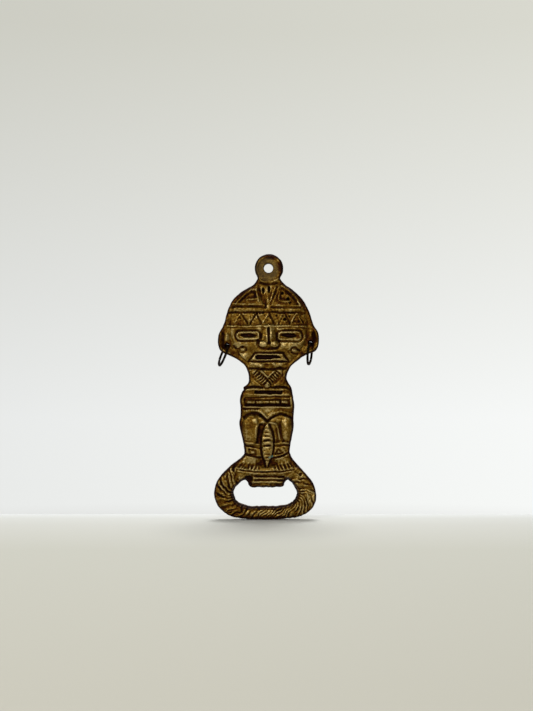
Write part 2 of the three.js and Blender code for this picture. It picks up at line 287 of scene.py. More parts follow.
face = {
    # centre and half size; corner radius at the left and right end; slit's centre, half size and tilt
    "eyes": [
        {"box": (-10.5, 103.8, 7.15, 3), "ends": (2.9, 2.1), "slit": (-10.4, 104, 4.6, 0.95, -0.03)},
        {"box": (13, 103.6, 7.25, 3.15), "ends": (2.3, 2.9), "slit": (12.8, 103.8, 4.4, 1.05, -0.06)},
    ],
    "strokes": [
        # nose: bridge, middle groove, and the hollows beside and below it
        (0.75, 2, 1.5, 108.2, 1.5, 103), (0.8, 2.6, 1.4, 102.6, 1.3, 99.6),
        (-1.5, 0.62, 1.1, 107.9, 1.2, 103, 1.4, 99.4), (-0.6, 0.8, -2.6, 107.2, -3.2, 102.6),
        (-0.6, 0.8, 5.3, 107.2, 5.7, 102.6),
        (-0.75, 0.65, -4.9, 101.2, -5.2, 98.8, -4.1, 97.1, -1.8, 96.5, 1.4, 96.4),
        (-0.75, 0.65, 1.4, 96.4, 4.6, 96.5, 6.6, 97.2, 7.6, 98.9, 7.2, 101.2),
        # cheek hooks
        (-0.75, 0.4, -18.6, 98.2, -17.2, 96.6, -15.7, 96.2, -14.6, 97.1, -13.3, 97.6),
        (-0.75, 0.4, -13.3, 97.6, -11.9, 97.2, -11.2, 95.9, -12.1, 94.6, -14.2, 94.2),
        (-1, 0.42, 13.5, 95.5, 14.5, 97, 16.2, 97.2, 17.6, 96.1, 18.6, 95.6),
        (-0.9, 0.42, 14.1, 94.4, 15.6, 93.8, 17.2, 93.6),
        # folds at the jaw
        (0.5, 0.6, -14.2, 94.6, -12.6, 92.2, -10.9, 89.9), (-0.25, 0.8, -15.6, 93.2, -13.4, 90.2),
        (0.3, 0.7, 19, 93.2, 15.6, 90, 13.2, 87.2), (-0.4, 0.36, 12.2, 94.6, 15.2, 91.4),
        (-0.35, 0.36, 13.9, 94.6, 16.6, 91.9), (-0.3, 0.36, 18.4, 95.2, 20.4, 93.2),
        (0.4, 0.4, -15.2, 94, -12.2, 91.2),
        # brows and cheeks
        (0.25, 0.9, -17.4, 107.6, -10.4, 107.7, -3.4, 107.4), (0.25, 0.9, 6, 107.4, 13, 107.7, 20.2, 107.4),
        # chin
        (0.45, 1.1, -8.2, 87.3, -3, 87), (0.45, 1.1, 4.6, 87.2, 10.4, 87.4), (0.3, 1, -3, 87, 4.6, 87.2),
        (-0.5, 0.45, -0.4, 87.4, 4, 87.2), (-0.4, 0.35, -0.4, 86.3, 3.8, 86.2),
        (-0.85, 0.5, -9.8, 85.4, -4, 85, 4.4, 85, 11.2, 85.5),
    ],
    "mounds": [
        (-2.1, 99, 2.5, 2.1, 1.25), (4.6, 99, 2.6, 2.1, 1.25), (-13.5, 95.9, 1.5, 0.9, 0.55),
        (15.8, 95.4, 1.5, 0.9, 0.55), (4.2, 87.4, 0.8, 0.7, 0.35), (-9.2, 98.8, 5, 3, 0.35),
        (12.2, 98.6, 5, 3, 0.35), (-8.9, 84.4, 0.6, 0.6, 0.5),
    ],
    "rimGroove": (0.7, 0.5),        # depth and width of the groove round each eye
    "slitDepth": 1.25,
    "lipGroove": (0.85, 0.42),
    "lipRise": 0.75,
    "slotDepth": 2.5,
    "lips": [(-6.5, 94.2), (9.4, 94.2), (12.5, 89.2), (-10.1, 89.2)],
    "slot": [
        (-6.2, 92.2), (-5.2, 93), (2.8, 92.9), (6.6, 92.4), (8, 91.5), (3.4, 90.9), (2.4, 90.4),
        (-5.4, 90.5),
    ],
}

ears = {
    "strokes": [
        (0.75, 0.65, -25, 107.2, -26.2, 105.2, -26.6, 101.6, -26.4, 98.6, -25.4, 96.2),
        (0.7, 0.65, -25.4, 96.2, -23.4, 94.9, -20.6, 94),
        (-0.75, 0.5, -24.4, 105, -24.5, 101.6, -24.3, 98.6, -23.6, 96.9),
        (0.4, 0.6, -22.7, 104.8, -22.6, 101.2), (-0.5, 0.6, -20.8, 104.4, -20.6, 100.8, -19.2, 97.4),
        (0.75, 0.65, 27.2, 107.2, 28.4, 104.6, 28.8, 101, 28.2, 97.9, 26.6, 96),
        (0.65, 0.65, 26.6, 96, 24.6, 95.2, 21.6, 94.2),
        (-0.75, 0.5, 26.3, 105.2, 26.8, 102.8, 26.7, 100.6, 25.8, 98.2),
        (-0.55, 0.6, 22.9, 106.4, 22.9, 101.8, 22, 98.4), (0.35, 0.6, 24.7, 106.6, 24.8, 103.2),
    ],
}

neck = {
    "tip": (0.45, 76.2),
    "leftTop": (-6.5, 83.5),
    "rightTop": (7.3, 83.5),
    "hatches": 6.5,
    "hatchDepth": 1.1,
    "strokes": [
        (0.7, 0.5, -2.8, 84, -1, 82, 0.6, 80.3), (0.65, 0.5, 4.4, 83.8, 2.6, 82, 1, 80.2),
        (-0.35, 0.5, -4.2, 83.6, 0.6, 78.6, 5.6, 83.6), (-0.5, 0.4, -8.6, 81.6, -5.6, 78.6, -2.6, 75.8),
        (-0.5, 0.4, 9.4, 81.6, 6.6, 78.6, 3.6, 75.8), (0.35, 0.6, -8.6, 83.4, -9, 79.6, -7.6, 76.6),
        (0.35, 0.6, 9.9, 83.2, 10.2, 79.8, 8.8, 76.8), (0.5, 0.7, 0.5, 77, 0.5, 75.2),
        (-0.3, 0.4, -10, 83.2, -6.6, 84.2),
    ],
}

chest = {
    "strokes": [
        (-1, 0.55, -12.6, 73.5, -10.6, 74.6, -7.2, 75, -2.4, 74.7),
        (-1, 0.55, 3, 74.7, 7.4, 75, 11.2, 74.6, 13.4, 73.3),
        (0.5, 0.8, -11.4, 73.2, -6.4, 73.7, 0.4, 73.6, 7.6, 73.7, 12.2, 73.2),
        (0.4, 0.6, -11.6, 71, -6, 70.5, 3, 70.3, 12.6, 70.6), (-0.5, 0.42, -3, 69.3, 2, 69.5, 13.2, 69.3),
        (0.5, 0.4, -11.6, 68.5, -4, 68.3, 4, 68.6, 12.8, 68.4),
        (-0.75, 0.5, -12.2, 64.7, -4, 64.5, 4, 64.6, 13, 64.5),
        (0.55, 0.5, -12.8, 63.6, -4, 63.4, 4, 63.4, 13.4, 63.5),
        (-0.6, 0.4, -13.2, 62.6, -8, 62.4, -4.4, 62.5), (0.35, 0.5, 14.1, 69.6, 14.2, 64),
        (0.3, 0.5, -13.6, 69, -13.7, 65),
    ],
    # centre and half size, corner radius, and depth or rise
    "slot": (1.1, 71.85, 7.7, 0.75, 0.55, 1.5),
    "recess": (0.4, 66.7, 12.9, 2.5, 1.2, 1),
    "armBar": (0.2, 66.45, 12.2, 1.25, 1.2, 1.25),
    "armNotches": [(-6, 0.8), (-11.2, 0.4), (-1.9, 0.3), (2, 0.35), (7.9, 1.3), (5, 0.3)],
    "armKnuckles": [(-9.4, 66.5), (-3.6, 66.4), (0.6, 66.5), (6.4, 66.4), (9.9, 66.3)],
}

legs = {
    "fringePitch": 1.3,
    "fringeDepth": 0.35,
    "strokes": [
        # arched tops of the thighs
        (-1.15, 0.85, -12.6, 57.8, -11.3, 59.2, -8.5, 60, -5.3, 60, -3.3, 59),
        (-1.05, 0.6, -3.4, 59.2, -1.4, 57.4, 0.3, 55.6),
        (-1.05, 0.55, 0.6, 55.6, 2.6, 57.4, 4.8, 58.8, 7.6, 59.6, 10.6, 59.2, 13.6, 57.6),
        (0.4, 0.5, -12.4, 61.4, -7.6, 61.9, -3.6, 61, 0.4, 57.4),
        (0.45, 0.5, 0.5, 57.4, 3.4, 60.2, 7.4, 61.2, 11, 60.9, 13.8, 59.6),
        (-0.3, 0.4, -2, 61.8, 0.5, 59.4, 3.2, 61.8),
        # channels on either side of the pendant, and the ridge between it and the right thigh
        (-1.25, 1.1, -2.9, 53.4, -3.9, 50.4, -4.6, 47.2, -5.1, 44.2),
        (-0.35, 0.5, -0.8, 54.2, -2.7, 50.4, -3.4, 46),
        (-0.75, 0.5, -3.4, 46, -3.5, 42, -3, 37.6, -0.5, 30.4),
        (-0.7, 0.45, 1.6, 53.8, 3.5, 49.8, 4.2, 45, 4.2, 41, 3.6, 37.2, 1.1, 30.4),
        (0.8, 0.5, 0.7, 54.4, 3.4, 54.5, 5.2, 54.2),
        (0.45, 0.55, 5.2, 54.2, 6.4, 51.6, 7, 48, 7.6, 45, 8.6, 43.4),
        (-0.4, 0.6, 5.3, 51, 5.9, 48, 6.2, 44.6), (-0.7, 0.8, 7.2, 54.6, 8, 51, 8.4, 47.6, 9.4, 44.8),
        (0.3, 0.6, -1.4, 55.2, -3.8, 54.8, -5.4, 52.4, -6.4, 46),
        # garter bands
        (0.45, 0.4, -12.4, 43.9, -8.6, 43.3, -3.9, 42.6),
        (-0.8, 0.42, -12.4, 42.9, -11.2, 42, -8.6, 41.4, -3.8, 40.4), (-0.35, 0.35, -12.2, 44.8, -8, 44.2),
        (-0.8, 0.42, -12, 37.4, -9.8, 36.7, -6.4, 36, -3.4, 35), (0.4, 0.4, -11.8, 36, -6.4, 34.9),
        (0.45, 0.4, 4.6, 42.9, 8.4, 43.2, 12.8, 43.4), (-0.7, 0.4, 4.2, 41.5, 8, 41.9, 12.6, 42),
        (-0.35, 0.3, 4.6, 44.1, 8, 44.5, 12.4, 44.4),
        (-0.8, 0.42, 4, 35.2, 7.4, 35.9, 10.2, 37, 12.8, 38.6), (0.4, 0.4, 5, 34.1, 9.4, 35.6, 12.9, 37.2),
        # garter motifs: a square on the left, a triangle on the right
        (-0.75, 0.38, -9.6, 39.8, -9.4, 37.1, -5.9, 36.9), (-0.6, 0.36, -9.6, 39.8, -6.1, 39.4, -5.9, 37),
        (0.4, 0.4, -11, 40.6, -11, 38.4), (-0.8, 0.38, 6.6, 39.9, 4.9, 37.2, 9.2, 37.9, 6.6, 39.9),
        (-0.5, 0.35, 9.6, 40.6, 10.9, 38.9, 12.4, 40.2),
    ],
    "mounds": [
        (-9, 50.9, 5, 9.2, 1.35), (11, 50.8, 3.6, 8.8, 1.2), (-7.6, 38.3, 1, 0.8, 0.45),
        (6.8, 38.4, 0.8, 0.7, 0.4), (-8.8, 33.6, 5, 2.4, 0.75), (8.8, 33.6, 4.8, 2.4, 0.6),
        (-3.5, 33.4, 2.8, 2.8, -0.85), (4.2, 33.1, 2.5, 2.6, -0.8), (0.6, 28.8, 5.6, 1.3, 0.4),
    ],
}

pendant = {
    # middle and half width from the tip up
    "heights": [30, 31.2, 32.6, 35.4, 37.8, 40.4, 43.9, 47, 49.5, 51.9, 53.3, 54.4],
    "middle": [0.4, 0.45, 0.5, 0.45, 0.45, 0.48, 0.47, 0.45, 0.4, 0.4, 0.4, 0.4],
    "halfWidth": [0.2, 0.8, 1.45, 2.4, 2.9, 3.3, 3.4, 3.1, 2.6, 1.8, 1.1, 0.1],
    "rise": 1.9,
    "grooves": [
        (52.1, 0.4), (49.7, 0.7), (47.5, 0.8), (45.1, 1.6), (42.1, 1.7), (37.2, 0.6), (35.4, 0.8),
        (33.4, 0.5),
    ],
    "beads": [50.8, 48.6, 46.4, 43.7],
    "blobs": [
        (0.1, 40.3, 1.2, 0.8, 0.4), (0.8, 38.6, 1.1, 0.7, 0.4), (-1, 39.2, 0.7, 0.6, -0.4),
        (1.7, 40.2, 0.6, 0.6, -0.35),
    ],
}

feet = {
    "toeWidth": 0.6,
    "cutWidth": 0.38,
    "cutShare": 0.45,       # depth of the cut beside each toe, as a share of the toe's height
    # toes: x and z at the foot and at the top, and how high each stands
    "toes": [
        (-17.4, 29.4, -14.9, 31.6, 0.45), (-15.4, 28.7, -12.7, 31.9, 0.6), (-13.3, 28.9, -11.4, 31.4, 0.65),
        (-11.6, 28.4, -10.2, 31.9, 0.5), (-9.3, 28.6, -8.9, 30.7, 0.7), (-7.7, 28.2, -6.4, 30.9, 0.6),
        (-5.4, 28.5, -5, 30.2, 0.5), (4.2, 28.4, 3.6, 30.3, 0.5), (6.3, 28.3, 5.2, 30.9, 0.65),
        (8.2, 28.6, 6.9, 31.2, 0.6), (10.4, 28.5, 8.4, 31.7, 0.7), (12.3, 28.8, 10.6, 31.9, 0.5),
        (14.4, 29.2, 12, 32.4, 0.65), (16.6, 29.2, 14.6, 31.4, 0.45),
    ],
    "strokes": [
        (-0.6, 0.36, -18.6, 29.7, -16.4, 28.4, -12, 27.6, -7.6, 27.2, 0.6, 27.1),
        (-0.55, 0.36, 0.6, 27.1, 8, 27.2, 12.4, 27.7, 15.8, 28.6),
        (0.35, 0.4, -16, 27.5, -8, 26.3, 1, 26.2, 9, 26.4, 14.6, 27.6),
        (0.4, 0.45, -16.6, 29.3, -8, 28, 1, 27.9, 9, 28.1, 15.6, 29.5),
        (-0.25, 0.35, -19.6, 28.6, -16.6, 26.9, -13.6, 26.2),
        (0.45, 0.5, -17.9, 32.2, -16, 31.9, -13, 32.9),
    ],
}

tongue = {
    "left": -9.9,
    "right": 10,
    "top": 25.9,
    "tip": 17.6,
    "strokes": [
        (0.35, 0.4, -7.6, 25.5, 0, 25.5, 9.8, 25.4), (-0.8, 0.38, -6.9, 24.6, 0, 24.5, 10.2, 24.4),
        (0.55, 0.42, -7.4, 23.6, 0, 23.5, 9.4, 23.4), (-0.85, 0.4, -6.4, 22.4, 0, 22.4, 9.4, 22.3),
        (0.45, 0.5, -8.8, 21.3, 0, 21.3, 9.2, 21.2), (-0.4, 0.5, -9, 20, -5, 19.9),
        (-0.35, 0.5, 2.4, 19.9, 8.6, 20.2), (0.4, 0.5, -5, 19.3, 1.6, 19.4),
        (-0.5, 0.6, -8.4, 24.9, -8, 22.4),
    ],
    "hollows": [(-10.2, 23.4, 2.4, 1.8, -1.6), (-8.8, 21, 0.9, 2.4, -0.9), (11, 23.2, 1.8, 1.2, -1)],
}

rope = {
    "line": [
        (-15.4, 29), (-19.6, 25.6), (-22.8, 21.4), (-24.2, 17.4), (-24.1, 13.4), (-22.6, 9.6), (-19.6, 6.7),
        (-15, 4.7), (-8.5, 3.9), (0, 3.75), (8.5, 4), (14.6, 5), (18.8, 6.8), (21.6, 9.8), (22.6, 13.4),
        (22, 17.2), (19.6, 21.6), (16.6, 25.6), (13.8, 29.2),
    ],
    # at shares of its length: strands passed so far, and how far they lean along it per millimetre inwards
    "shares": [0, 0.12, 0.3, 0.45, 0.6, 0.78, 0.9, 1],
    "strands": [0, 3.2, 8.5, 13.4, 20.1, 26, 29.8, 32.4],
    "lean": [0.85, 0.8, 0.5, 0.95, 1.3, 1, 0.6, 0.35],
    "depth": (0.66, 0.6),   # of the grooves, and how much it varies
    "deepest": (-20.5, 23.5, 8, 8.5, 0.4),
    "perSpan": 12,
}


def headRelief(x, z):
    height = mound(x, z, *crown["dome"], 0.5)
    height += strokes(x, z, crown["strokes"]) + strokes(x, z, headband["strokes"])
    top, foot = headband["top"], headband["foot"]
    for apex, left, right, leftHeight, rightHeight in headband["triangles"]:
        height += strokes(x, z, [(leftHeight, 0.4, left, foot, apex - 0.2, top)])
        height += strokes(x, z, [(rightHeight, 0.42, apex + 0.2, top, right, foot)])
    height += field(x, z, [(-21.6, 116.4), (22, 116.4), (23.6, 109.9), (-22.6, 109.9)], -0.22, 0.8)
    return height


def faceRelief(x, z):
    height = strokes(x, z, face["strokes"]) + strokes(x, z, ears["strokes"])
    grooveDepth, grooveWidth = face["rimGroove"]
    for eye in face["eyes"]:
        rim = roundBox(x, z, *eye["box"], np.where(x < eye["box"][0], *eye["ends"]))
        height += 0.3 * ramp(rim, 0.4, -0.8) - grooveDepth * bell(rim, grooveWidth)
        height += 0.25 * bell(rim + 1.1, 0.5) - 0.3 * ramp(rim, -1.3, -2)
        sx, sz, slitWidth, slitHeight, tilt = eye["slit"]
        lens = 1 - ((x - sx) / slitWidth) ** 2 - np.abs((z - sz - tilt * (x - sx)) / slitHeight) ** 1.5
        height += 0.2 * bell(lens + 0.9, 0.5) - face["slitDepth"] * ramp(lens, -0.25, 0.6)
    height += mounds(x, z, face["mounds"])
    lips = insideDistance(x, z, np.array(face["lips"], float))
    grooveDepth, grooveWidth = face["lipGroove"]
    height += face["lipRise"] * ramp(lips, 0.2, 1.1) - grooveDepth * bell(lips, grooveWidth)
    slot = insideDistance(x, z, np.array(face["slot"], float))
    return height - face["slotDepth"] * ramp(slot, -0.3, 0.5)


def neckRelief(x, z):
    height = strokes(x, z, neck["strokes"])
    for top in (neck["leftTop"], neck["rightTop"]):
        gap, travel, _ = alongLine(x, z, [neck["tip"], top])
        length = math.dist(neck["tip"], top)
        band = ramp(gap, 2, 1.5) * ramp(travel, 0.2, 0.6) * ramp(travel, length - 0.1, length - 0.5)
        height += 0.35 * ramp(gap, 2.1, 1.6)
        passed = (travel + 0.3 * lumps(x, z, 1.7, 15)) / length * neck["hatches"]
        height -= neck["hatchDepth"] * band * (0.5 + 0.5 * np.cos(2 * np.pi * passed)) ** 0.7
        height -= 0.3 * bell(gap - 2, 0.35)
    return height


def chestRelief(x, z):
    height = strokes(x, z, chest["strokes"])
    *slot, depth = chest["slot"]
    height -= depth * ramp(roundBox(x, z, *slot), 0.35, -0.4)
    *recess, depth = chest["recess"]
    height -= depth * ramp(roundBox(x, z, *recess), 0.4, -0.5)
    *armBar, rise = chest["armBar"]
    bar = roundBox(x, z, *armBar)
    height += rise * np.clip(-bar / armBar[3], 0, 1) ** 0.5
    for notchX, depth in chest["armNotches"]:
        height -= depth * bell(x - notchX, 0.4) * ramp(bar, 0.2, -0.4)
    return height + mounds(x, z, [(kx, kz, 1.1, 0.9, 0.22) for kx, kz in chest["armKnuckles"]])


def legRelief(x, z):
    height = strokes(x, z, legs["strokes"]) + mounds(x, z, legs["mounds"])
    # fringe of short upright cuts over the left thigh
    fringe = ramp(z, 60.9, 61.3) * ramp(z, 63.2, 62.6) * ramp(x, -13.4, -12.8) * ramp(x, -4.4, -5.2)
    cuts = 0.5 + 0.5 * np.cos(2 * np.pi * x / legs["fringePitch"])
    return height - legs["fringeDepth"] * fringe * cuts


# The pendant is a spindle: its rise falls off across it as a circle does, and it narrows to its ends
def pendantRelief(x, z):
    middle = np.interp(z, pendant["heights"], pendant["middle"])
    halfWidth = np.interp(z, pendant["heights"], pendant["halfWidth"])
    across = np.clip(1 - ((x - middle) / halfWidth) ** 2, 0, 1) ** 0.5
    size = np.minimum(halfWidth / 2.4, 1) ** 0.5 * (z > pendant["heights"][0]) * (z < pendant["heights"][-1])
    height = pendant["rise"] * across * size
    for grooveZ, depth in pendant["grooves"]:
        bowed = z - grooveZ + 0.05 * (x - middle) ** 2
        height -= depth * across**3 * bell(bowed, 0.48)
    beads = [(0.4, beadZ, 1.3, 0.75, 0.35) for beadZ in pendant["beads"]]
    return height + mounds(x, z, beads + pendant["blobs"])


def footRelief(x, z):
    height = strokes(x, z, feet["strokes"])
    for footX, footZ, topX, topZ, rise in feet["toes"]:
        depth = feet["cutShare"] * rise
        height += strokes(x, z, [(rise, feet["toeWidth"], footX, footZ, topX, topZ)])
        height += strokes(x, z, [(-depth, feet["cutWidth"], footX + 1, footZ, topX + 1, topZ - 0.3)])
    return height


# Strands of a twisted rope: the phase counts pitches along the rope, less the lean across it, and
# each strand is round between the sharp grooves where the phase is whole
def ropeRelief(x, z, middleDistance):
    line, perSpan = rope["line"], rope["perSpan"]
    fine = closedCurve(line, perSpan)[: perSpan * (len(line) - 1) + 1]
    gap, travel, side = alongLine(x, z, [tuple(p) for p in fine])
    length = np.hypot(*np.diff(fine, axis=0).T).sum()
    inward = gap * side
    lean = np.interp(travel / length, rope["shares"], rope["lean"])
    wander = 1.2 * lumps(x, z, 3.4, 21) + 0.7 * lumps(x, z, 1.6, 22)
    phase = np.interp((travel - lean * inward + wander) / length, rope["shares"], rope["strands"])
    wave = np.cos(2 * np.pi * phase)
    usual, varied = rope["depth"]
    deep = usual + varied * lumps(x, z, 2.6, 23) + mound(x, z, *rope["deepest"])
    grooves = np.clip(deep, 0.15, 1.3) * ramp(wave, -0.1, 0.95)
    split = (0.4 + 0.5 * lumps(x, z, 2.8, 24)) * ramp(np.cos(4 * np.pi * phase + 2), 0.3, 1)
    onRope = ramp(gap, 6.2, 5) * ramp(travel, 0.4, 3) * ramp(travel, length - 0.4, length - 3)
    return onRope * (0.3 - grooves - split * ramp(wave, 0.3, -0.3))


# A rise that fades in over one stretch of Z, and out over another where a second is given
def partRise(z, rise, start, end, secondStart=None, secondEnd=None):
    share = ramp(z, start, end)
    if secondStart is not None:
        share = share * ramp(z, secondStart, secondEnd)
    return rise * share


# How far the metal stands forward of the middle plane
def frontHeight(x, z, outer, mouth, holes):
    warpX = x + 0.2 * lumps(x, z, 2.7, 11) + 0.1 * lumps(x, z, 1.2, 12)
    warpZ = z + 0.2 * lumps(x, z, 2.7, 13) + 0.1 * lumps(x, z, 1.2, 14)
    band = np.minimum(outer, mouth)
    inFromEdge = np.clip(band / castingShape["pillowWidth"], 0, 1)
    pillow = np.clip(1 - (1 - inFromEdge) ** 2, 0, 1) ** 0.6

    parts = ("lugPart", "bodyPart", "loopPart", "footPart")
    lug, body, loop, foot = (partRise(z, *castingShape[part]) for part in parts)
    height = castingShape["plateRise"] + lug + pillow * (body + loop + lug) + foot * ramp(outer, 1, 5)
    for relief in (headRelief, faceRelief, neckRelief, chestRelief, legRelief, pendantRelief, footRelief):
        height += relief(warpX, warpZ)
    height += mounds(warpX, warpZ, crown["pits"], 0.5)

    onTongue = ramp(x, tongue["left"] - 0.5, tongue["left"] + 0.4)
    onTongue *= ramp(x, tongue["right"] + 0.5, tongue["right"] - 0.4)
    onTongue *= ramp(z, tongue["top"] + 0.8, tongue["top"] - 0.4) * ramp(z, 12, 14)
    height += strokes(warpX, warpZ, tongue["strokes"]) * onTongue
    lip = np.clip((tongue["top"] - z) / (tongue["top"] - tongue["tip"]), 0, 1)
    height -= onTongue * (0.35 + 0.75 * lip)
    height += mounds(x, z, tongue["hollows"]) + ropeRelief(x, z, band) * (1 - onTongue)

    # the lug's raised rim, its dished face and the worn ring round its hole
    lugGap = np.hypot(x - lugX, z - lugZ)
    rimFade = ramp(z, 135, 138)
    height += 0.3 * rimFade * bell(lugGap - 6.9, 0.5) * ramp(z - x, 134, 143)
    height -= 0.15 * rimFade * ramp(lugGap, 6.4, 5.6)

    # cast skin: soft unevenness everywhere, and pock marks thickest in the headband
    height += 0.08 * lumps(x, z, 0.9, 31) + 0.08 * lumps(x, z, 2.3, 32) + 0.04 * lumps(x, z, 0.5, 33)
    pocked = 0.25 + 0.75 * ramp(z, 108.5, 110) * ramp(z, 117.5, 116.5)
    height -= 0.5 * pocked * ramp(lumps(x, z, 0.75, 34), 0.5, 0.95)

    # edges fall away: a quarter round outside, a long slope round the mouth, a short round at the holes
    height -= edgeDrop(outer, castingShape["edgeRadius"])
    height -= edgeDrop(holes, castingShape["holeRadius"])
    slope = 1 - ramp(mouth, 0, castingShape["mouthDraft"])
    height -= slope * (1.9 - 0.9 * onTongue)
    return np.minimum(height, deepestFront - 0.03)


def edgeDrop(gap, radius):
    share = np.clip(gap / radius, 0, 1)
    return radius * (1 - np.sqrt(1 - (1 - share) ** 2))


# Averages over a square window, leaving out the places outside the metal: running sums, less the
# running sums one window earlier
def windowMean(values, weights, reach):
    total, count = values * weights, weights.astype(float)
    for axis in (0, 1):
        pad = [(0, 0), (0, 0)]
        pad[axis] = (reach + 1, reach)
        first = np.arange(values.shape[axis])
        for stack in (total, count):
            summed = np.cumsum(np.pad(stack, pad), axis)
            stack[...] = np.take(summed, first + 2 * reach + 1, axis) - np.take(summed, first, axis)
    return total / np.maximum(count, 1e-9)


wearAndPaintedLight = {
    # spots that are darker (+) or brighter (-) than the rest, some stains and polish, others painted shade
    # and painted highlights: centre, half size, amount
    "paintedLightAndStainSpots": [
        # head; the dark spots at the lug's right and top are painted shade, the bright ones on the nose
        # painted highlights
        (8.4, 142.5, 2.2, 6.5, 0.4), (3.6, 148.4, 5.5, 2.4, 0.5), (-6.4, 144, 1.6, 5.5, 0.2),
        (-10.5, 126, 7, 5.5, 0.25), (10.5, 126, 7.5, 5.5, 0.24), (1, 124, 3.8, 8, 0.08),
        (4.5, 128.5, 3, 7, 0.1), (0.8, 119.7, 1.6, 1.6, -0.3), (16, 112.5, 8, 4, 0.12),
        (-12, 112.8, 3, 3, 0.12), (-20, 105, 2.6, 4.5, -0.26), (20.5, 105.5, 2.4, 4, 0.03),
        (-4, 107.4, 2.4, 3, -0.3), (4.5, 109, 2.4, 4, -0.16), (14, 103.4, 7.4, 3.2, 0.2),
        (-9, 99, 7, 4, -0.1), (-16.2, 98.6, 2.8, 2.4, -0.22), (14, 99.6, 6.5, 4.5, -0.24),
        (8, 98, 2.2, 2.4, -0.34), (1.5, 96.6, 6, 1.8, 0.1), (-1.6, 99.4, 1, 0.8, -0.4),
        (4.2, 99.4, 1, 0.8, -0.35), (-12.8, 92.6, 3, 3, -0.3), (12.4, 93, 2.4, 2.4, -0.1),
        (0.6, 91.6, 7, 1, 0.35), (-20.2, 93.3, 2.6, 1.3, 0.12), (20, 93.6, 2.8, 1.6, 0.2),
        (-5.6, 87.4, 6, 2, -0.28), (5.6, 87.6, 5, 2, -0.16), (-4, 123, 2.4, 2.8, -0.15),
        (2.5, 118, 6.5, 2, 0.14), (4, 103.2, 2, 2.2, -0.12), (-4, 103, 1.8, 2, -0.12),
        (20.4, 101, 2.4, 4, -0.14), (-16.4, 98.4, 2.4, 2.2, -0.12),
        # ears
        (-25, 101, 3, 7, 0.18), (-24, 98, 2.2, 2.6, -0.2), (26.8, 101, 3.2, 7, 0.3),
        (28.2, 98, 1.4, 3, -0.35),
        # neck, chest and hips
        (-1, 83, 5, 2.5, -0.12), (9, 79, 4, 5, 0.16), (0, 80, 7, 4.5, 0.08), (0, 75.2, 1.6, 1.4, -0.2),
        (-13, 74.3, 1.2, 1.2, 0.5), (-14, 69.8, 1.2, 1.8, 0.5), (3.5, 73.3, 11, 1.6, 0.22),
        (0, 68.3, 4, 1, -0.25), (12.6, 68.2, 2.5, 1.8, 0.14), (0.5, 66.5, 13, 3.4, 0.05),
        (-2.5, 63.3, 4.5, 1, 0.1), (0.4, 61, 5, 3, -0.25),
        # legs and pendant; the bright spots high on the thighs and down the left thigh's side are painted
        # highlights
        (-8, 58.6, 4.8, 2.2, 0.2), (4.2, 58.4, 3, 2, 0.13), (-6.6, 55.8, 1.8, 1.6, -0.28),
        (3.6, 54.4, 1.8, 0.7, -0.4), (10.6, 54.6, 1.3, 2.6, -0.24), (12.6, 50.5, 2.4, 7, 0.1),
        (-8.2, 53.2, 3, 3, 0.1), (-11.4, 48.7, 0.6, 4.5, -0.2), (-4.4, 48.6, 1.6, 5.2, 0.22),
        (8.4, 48, 1.2, 6, 0.16), (0.4, 50.4, 2, 3.5, -0.12), (0.5, 42, 3, 9, -0.14),
        (-10.2, 38.6, 3.4, 2.6, -0.14), (11.2, 38.6, 3.2, 2.6, -0.14), (-9.4, 33.6, 6.4, 3, -0.26),
        (8.6, 33.2, 5.2, 2.6, -0.3), (-2.6, 33, 2, 2.4, 0.14), (3.6, 33, 1.6, 2.2, 0.04),
        (-8, 33.2, 2.4, 2.2, -0.16), (-4, 53, 1.8, 2.2, -0.12), (4, 53, 1.8, 2.2, -0.1),
        (-8, 28, 5, 1.8, -0.1), (-11.8, 24.4, 2.2, 2.2, 0.12),
        # loop; the dark spots in the pockets beside the tongue are painted shade
        (-10.6, 23.4, 3, 1.9, 0.5), (-9.3, 20, 1.1, 3, 0.45), (10.6, 19.8, 1, 2.2, 0.35),
        (12.6, 23, 3, 1.6, 0.3), (18.6, 22, 6, 7, -0.06), (-2, 21.4, 7, 3.4, -0.12),
        (-24, 13, 6.5, 9, 0.12), (-24.4, 18.2, 2.6, 3, -0.14), (-16.5, 6.5, 7, 4.5, 0.12),
        (25, 11.5, 3, 7.5, -0.22), (8, 3, 8, 2.2, -0.1),
    ],
    "lug": (0.2, 140.8, 7.4, 7.6),
    "verdigris": [(2.95, 35.9, 0.95, 0.75, 1), (1.7, 35.4, 0.7, 0.5, 1)],
    "overall": 0.47,
    "inHollows": 0.92,      # dirt for each millimetre below the points close round
    "paintedShadeInWideHollows": 0.15,
    "alongEdgeDirtAndShade": 0.5,
    "paintedShadeInMouth": 0.6,
    "paintedShadeUnderneath": 0.45,
    # darkness of the edge rows down the sides: patina and painted shade
    "edge": 0.66,
    # painted shade inside the ear holes, on top of the edge's
    "bored": 0.3,           # more than that inside the ear holes
    "back": 0.5,
}


